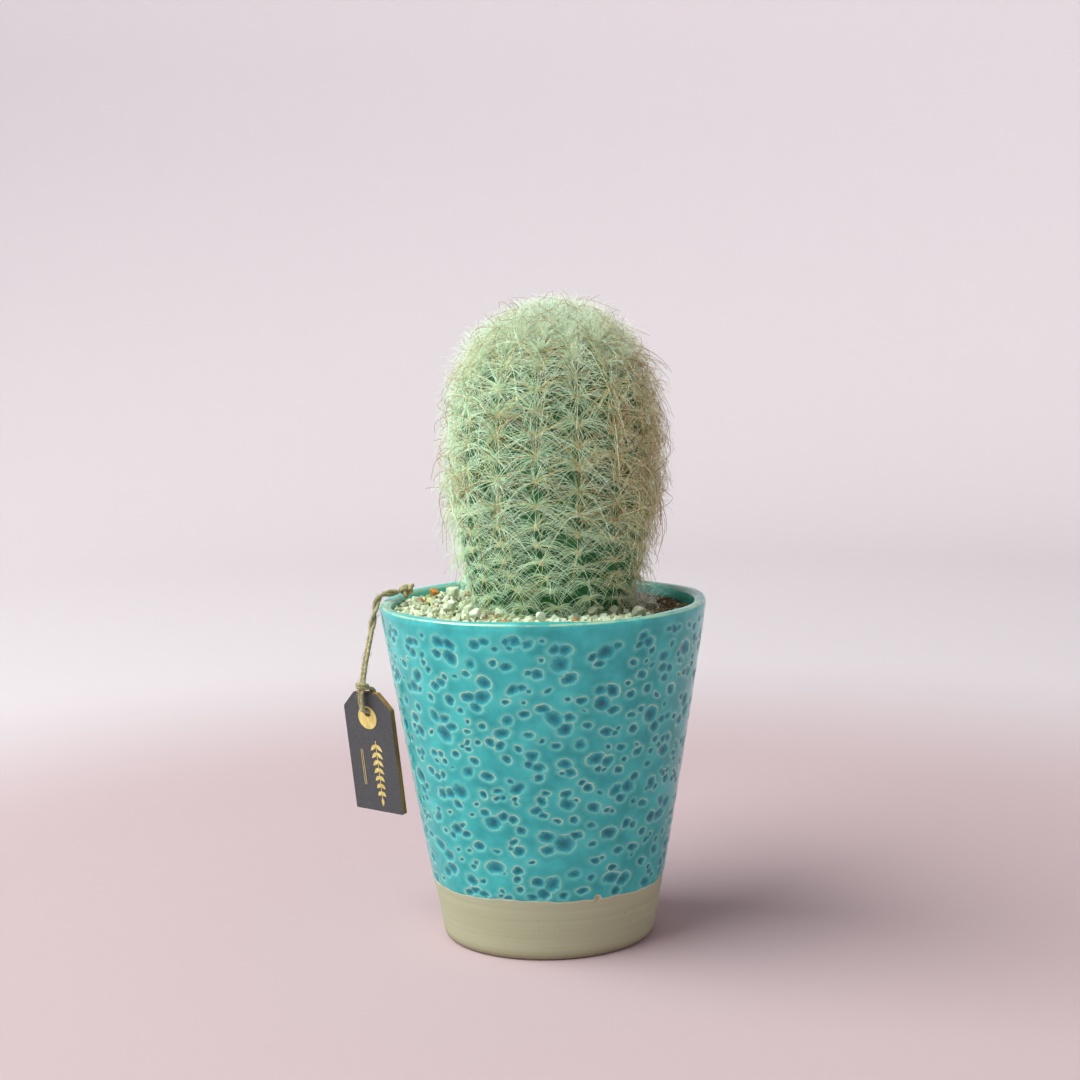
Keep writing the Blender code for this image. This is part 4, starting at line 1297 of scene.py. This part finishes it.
def jute_finish():
    """Straw-coloured fibre with a green cast in places."""
    straws = [(0.25, srgb(118, 106, 76)), (0.75, srgb(206, 196, 160)), (0.5, srgb(168, 156, 118))]
    made, tree, shader, colour = clouded(
        "natural_jute", (900, 4.0), straws, 0.9, (2600, 4.0, 0.0003, 0.8)
    )
    green = tree.step(tree.noise(150, 2.0), 0.4, 0.7, 0.0, 0.35)
    tree.join(shader.inputs["Base Color"], tree.mix(green, colour, srgb(132, 136, 98)))
    return made


def plied(turns_per_metre, phase=0.0):
    """Radius of a strand laid from two yarns, at a distance along it and an angle round it."""

    def radius(gone, angle):
        return STRAND * (0.90 + 0.16 * abs(math.cos(angle - TURN * turns_per_metre * gone + phase)))

    return radius


def tag_frame():
    """X across the tag's face, Y up it and Z out of it, from the middle of the hole."""
    across = Vector((math.cos(TAG_TURN), -math.sin(TAG_TURN), 0.0))
    out = Vector((-math.sin(TAG_TURN), -math.cos(TAG_TURN), 0.0))
    up = Vector((0.0, 0.0, 1.0))
    tilted_up = up * math.cos(TAG_LEAN) + out * math.sin(TAG_LEAN)
    tilted_out = out * math.cos(TAG_LEAN) - up * math.sin(TAG_LEAN)
    turn = Matrix((across, tilted_up, tilted_out)).transposed().to_4x4()
    return Matrix.Translation(TAG_HOLE) @ turn


def make_twine(jute):
    """Two strands, twisted together over the rim and side by side above the tag."""
    at_tag = [tag_frame() @ Vector(p) for p in (
        (0.0, 0.0098, 0.0010), (-0.0003, 0.0072, 0.0020), (-0.0003, 0.0040, 0.0022), (0.0, 0.0010, 0.0020),
    )]  # fmt: skip
    route = smooth_route([*TWINE_ROUTE, *at_tag], 0.0006)
    frames = carried_frames(route)
    length = sum((b - a).length for a, b in zip(route, route[1:]))
    points, faces = [], []
    for strand in (0, 1):
        gone, line = 0.0, []
        for i, (point, (side, other)) in enumerate(zip(route, frames)):
            gone += (point - route[i - 1]).length if i else 0.0
            twisted = TURN * TWIST_TURNS * min(gone, TWIST_END) + strand * math.pi + 0.9
            apart = STRAND * (0.98 + 0.22 * float(ease(0.020, 0.030, gone)))
            line.append(point + (side * math.cos(twisted) + other * math.sin(twisted)) * apart)
        add_rings(points, faces, tube_rings(line, plied(YARN_TURNS, strand), 12))
    twine = mesh_piece("jute_twine", points, faces, [jute])
    return place_piece(twine, ["twine"]), route, length


def make_hitch(jute):
    """The loop that holds the tag: through the hole, up behind and round both strands."""
    turn = tag_frame()
    points, faces = [], []
    back = -TAG_THICKNESS - 0.0009
    for offset in (-0.00072, 0.00072):
        loop = [
            (offset, 0.0009, 0.0013), (offset * 0.9, 0.0002, 0.0002), (offset * 0.9, 0.0002, -TAG_THICKNESS),
            (offset, 0.0012, back - 0.0002), (offset + 0.0006, 0.0045, back - 0.0003),
            (offset + 0.0012, TAG_ABOVE_HOLE, back), (offset + 0.0013, TAG_ABOVE_HOLE + 0.0012, back * 0.6),
            (offset * 1.4 + 0.0010, TAG_ABOVE_HOLE + 0.0021, 0.0),
        ]  # fmt: skip
        line = smooth_route([turn @ Vector(p) for p in loop], 0.0005)
        add_rings(points, faces, tube_rings(line, plied(YARN_TURNS, offset * 900), 10))
    middle = turn @ Vector((0.0, TAG_ABOVE_HOLE + 0.0022, 0.0009))
    for lift, start in ((0.0, 0.3), (0.0011, 1.8)):
        wrap = []
        for k in range(15):
            angle = start + TURN * k / 14
            height = lift + 0.0006 * math.sin(angle)
            ring = Vector((math.cos(angle) * 0.0020, height, math.sin(angle) * 0.0017))
            wrap.append(middle + turn.to_3x3() @ ring)
        add_rings(points, faces, tube_rings(smooth_route(wrap, 0.0005), plied(YARN_TURNS, start), 10))
    hitch = mesh_piece("jute_hitch", points, faces, [jute])
    return place_piece(hitch, ["twine_hitch"])


def make_knot(jute):
    """An overhand knot of the doubled strand, drawn tight on the pin, with short cut ends."""
    points, faces = [], []
    for strand in (-1, 1):
        line = []
        for k in range(61):
            t = TURN * k / 60
            x = math.sin(t) + 2 * math.sin(2 * t)
            y = math.cos(t) - 2 * math.cos(2 * t)
            z = -1.2 * math.sin(3 * t)
            spot = Vector((x * 0.00066, z * 0.00080 + strand * 0.00036, y * 0.00066 + strand * 0.00030))
            line.append(KNOT_CENTRE + Matrix.Rotation(0.6, 3, "Z") @ spot)
        add_rings(points, faces, tube_rings(smooth_route(line, 0.0005), plied(YARN_TURNS, strand), 10))
    sag = Vector((0, 0, 0.0006))
    for away in (Vector((0.5, -0.5, 0.35)), Vector((0.65, 0.25, 0.55))):
        start = KNOT_CENTRE + away * 0.0015
        line = smooth_route([start, start + away * 0.0017, start + away * 0.0030 - sag], 0.0004)
        add_rings(points, faces, tube_rings(line, plied(YARN_TURNS), 10))
    knot = mesh_piece("jute_knot", points, faces, [jute])
    return place_piece(knot, ["twine_knot"])


def make_fuzz(jute, route):
    """Loose fibres standing off the twine."""
    draw = np.random.default_rng(15)
    points, faces = [], []
    frames = carried_frames(route)
    for _ in range(150):
        i = int(draw.integers(2, len(route) - 6))
        side, other = frames[i]
        angle = draw.uniform(0, TURN)
        out = side * math.cos(angle) + other * math.sin(angle)
        along = (route[i + 1] - route[i]).normalized() * draw.choice([-1, 1])
        start = route[i] + out * 0.0010
        reach = draw.uniform(0.0006, 0.0019)
        line = [start, start + (out + along) * reach * 0.4, start + (out * 0.9 + along * 1.6) * reach * 0.6]
        add_rings(points, faces, tube_rings(line, lambda gone, angle: 0.00004, 3))
    return place_piece(mesh_piece("jute_fuzz", points, faces, [jute]))


def make_pin():
    """The green coated hairpin that holds the knot down."""
    greens = [(0.3, srgb(34, 60, 40)), (0.75, srgb(62, 92, 62))]
    coat = clouded("green_coated_wire", (500, 3.0), greens, 0.42, (1500, 3.0, 0.0002, 0.5))[0]
    along = (PIN_TOP - PIN_TIP).normalized()
    across = along.cross(Vector((1, 0, 0))).normalized() * (PIN_SPREAD / 2)
    bend = PIN_TOP - along * (PIN_SPREAD / 2)
    line = [PIN_TIP - across, bend - across]
    for i in range(1, 12):
        angle = math.pi * i / 12
        line.append(bend - across * math.cos(angle) + along * (PIN_SPREAD / 2) * math.sin(angle))
    line += [bend + across, PIN_TIP + across]
    points, faces = [], []
    add_rings(points, faces, tube_rings([Vector(p) for p in line], lambda gone, angle: PIN_WIRE, 14))
    pin = mesh_piece("coated_hairpin", points, faces, [coat])
    return place_piece(pin, ["wire_pin"])


# ---------------------------------------------------------------- tag


def board_finishes():
    """Dark paper faces, the board's cut edge and the gilt print."""
    greys = [(0.3, srgb(56, 56, 60)), (0.75, srgb(86, 86, 90))]
    paper, tree, shader, colour = clouded(
        "dark_tag_paper", (2400, 3.0), greys, 0.75, (2400, 3.0, 0.0002, 0.35)
    )
    scuff = tree.step(tree.noise(240, 3.0), 0.62, 0.8, 0.0, 0.35)
    tree.join(shader.inputs["Base Color"], tree.mix(scuff, colour, srgb(112, 112, 112)))

    browns = [(0.3, srgb(108, 68, 34)), (0.7, srgb(188, 142, 84))]
    layered = (260, 4.0, (1, 1, 0.2))
    cut = clouded("tag_cut_edge", layered, browns, 0.8, (1500, 3.0, 0.0003, 0.6))[0]

    golds = [(0.3, srgb(206, 178, 92)), (0.7, srgb(238, 220, 146))]
    gilt, _, shader, _ = clouded("pale_gilt_print", (900, 3.0, (1, 1, 0.12)), golds, 0.42)
    shader.inputs["Metallic"].default_value = 0.25
    return paper, cut, gilt


def rounded_outline(corners, radius, steps=4):
    """The outline with each corner replaced by a short arc."""
    points = []
    for i, corner in enumerate(corners):
        before, after = corners[i - 1], corners[(i + 1) % len(corners)]
        start = corner + (before - corner).normalized() * radius
        end = corner + (after - corner).normalized() * radius
        for k in range(steps + 1):
            t = k / steps
            points.append(start * (1 - t) ** 2 + corner * 2 * t * (1 - t) + end * t**2)
    return points


def flat_plate(bm, outer, inner, bottom, top, side_slot, face_slot):
    """A plate with an outline and, where inner is given, a hole."""
    loops = [outer] + ([inner] if inner else [])
    edges = []
    for loop in loops:
        verts = [bm.verts.new((p.x, p.y, bottom)) for p in loop]
        edges += [bm.edges.new((a, b)) for a, b in zip(verts, verts[1:] + verts[:1])]
    made = bmesh.ops.triangle_fill(bm, edges=edges, use_beauty=True)["geom"]
    faces = [item for item in made if isinstance(item, bmesh.types.BMFace)]
    raised = bmesh.ops.extrude_face_region(bm, geom=faces)["geom"]
    verts = [item for item in raised if isinstance(item, bmesh.types.BMVert)]
    bmesh.ops.translate(bm, verts=verts, vec=(0, 0, top - bottom))
    new_faces = {f for v in verts for f in v.link_faces} | set(faces)
    for face in new_faces:
        face.material_index = side_slot
    for face in [item for item in raised if isinstance(item, bmesh.types.BMFace)] + faces:
        face.material_index = face_slot


def leaf(root, direction, length, width):
    """Outline of a pointed leaf."""
    side = Vector((-direction.y, direction.x))
    left, right = [], []
    for k in range(9):
        t = k / 8
        half = width * math.sin(math.pi * t**0.8) ** 1.1 * 0.5
        middle = root + direction * length * t
        left.append(middle + side * half)
        right.append(middle - side * half)
    return right + left[-2:0:-1]


def circle(middle, radius, count):
    turns = np.linspace(0, TURN, count + 1)[:-1]
    return [Vector(middle) + Vector((math.cos(a), math.sin(a))) * radius for a in turns]


def bar(left, right, low, high):
    return [Vector(p) for p in ((left, low), (right, low), (right, high), (left, high))]


def make_tag():
    """The board, a gilt disc round its hole and a plain printed sprig."""
    paper, cut, gilt = board_finishes()
    half = TAG_WIDTH / 2
    corners = [
        (-half, -TAG_BELOW_HOLE), (half, -TAG_BELOW_HOLE), (half, TAG_ABOVE_HOLE - TAG_CHAMFER),
        (half - TAG_CHAMFER, TAG_ABOVE_HOLE), (TAG_CHAMFER - half, TAG_ABOVE_HOLE),
        (-half, TAG_ABOVE_HOLE - TAG_CHAMFER),
    ]  # fmt: skip
    outline = rounded_outline([Vector(c) for c in corners], 0.0005)
    hole = circle((0.0, 0.0), TAG_HOLE_RADIUS, 32)
    bm = bmesh.new()
    flat_plate(bm, outline, hole, -TAG_THICKNESS, 0.0, 1, 0)
    disc = circle((-0.0003, -0.0021), 0.0045, 48)
    ring = [p * 1.02 for p in hole]
    flat_plate(bm, disc, ring, 0.00002, 0.00008, 2, 2)
    stem_x, start, end = 0.0022, -0.0110, -0.0335
    shapes = [bar(stem_x - 0.00016, stem_x + 0.00016, end, start)]
    for k in range(7):
        y = start - 0.0014 - k * 0.0031
        length = 0.0040 - 0.00022 * k
        for way in (-1, 1):
            direction = Vector((way * 0.74, -0.67)).normalized()
            shapes.append(leaf(Vector((stem_x, y)), direction, length, 0.0015))
    shapes.append(leaf(Vector((stem_x, end)), Vector((0, -1)), 0.0034, 0.0013))
    shapes += [bar(x, x + 0.00022, -0.0290, -0.0150) for x in (-0.0050, -0.0058)]
    for shape in shapes:
        flat_plate(bm, shape, None, 0.00002, 0.00007, 2, 2)
    bmesh.ops.recalc_face_normals(bm, faces=bm.faces)
    mesh = bpy.data.meshes.new("hang_tag")
    bm.to_mesh(mesh)
    bm.free()
    mesh.transform(tag_frame())
    for material in (paper, cut, gilt):
        mesh.materials.append(material)
    return place_piece(linked("hang_tag", mesh), ["tag"])


# ---------------------------------------------------------------- making it


def make_hanging_parts():
    jute = jute_finish()
    twine, route, length = make_twine(jute)
    hitch, knot, fuzz = make_hitch(jute), make_knot(jute), make_fuzz(jute, route)
    make_pin()
    tag = make_tag()
    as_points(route)  # fmt: skip


make_camera()
make_studio()
make_hanging_parts()
make_pot()
make_gravel()
make_stem()
make_plant_cover()
make_cotton_wisp()
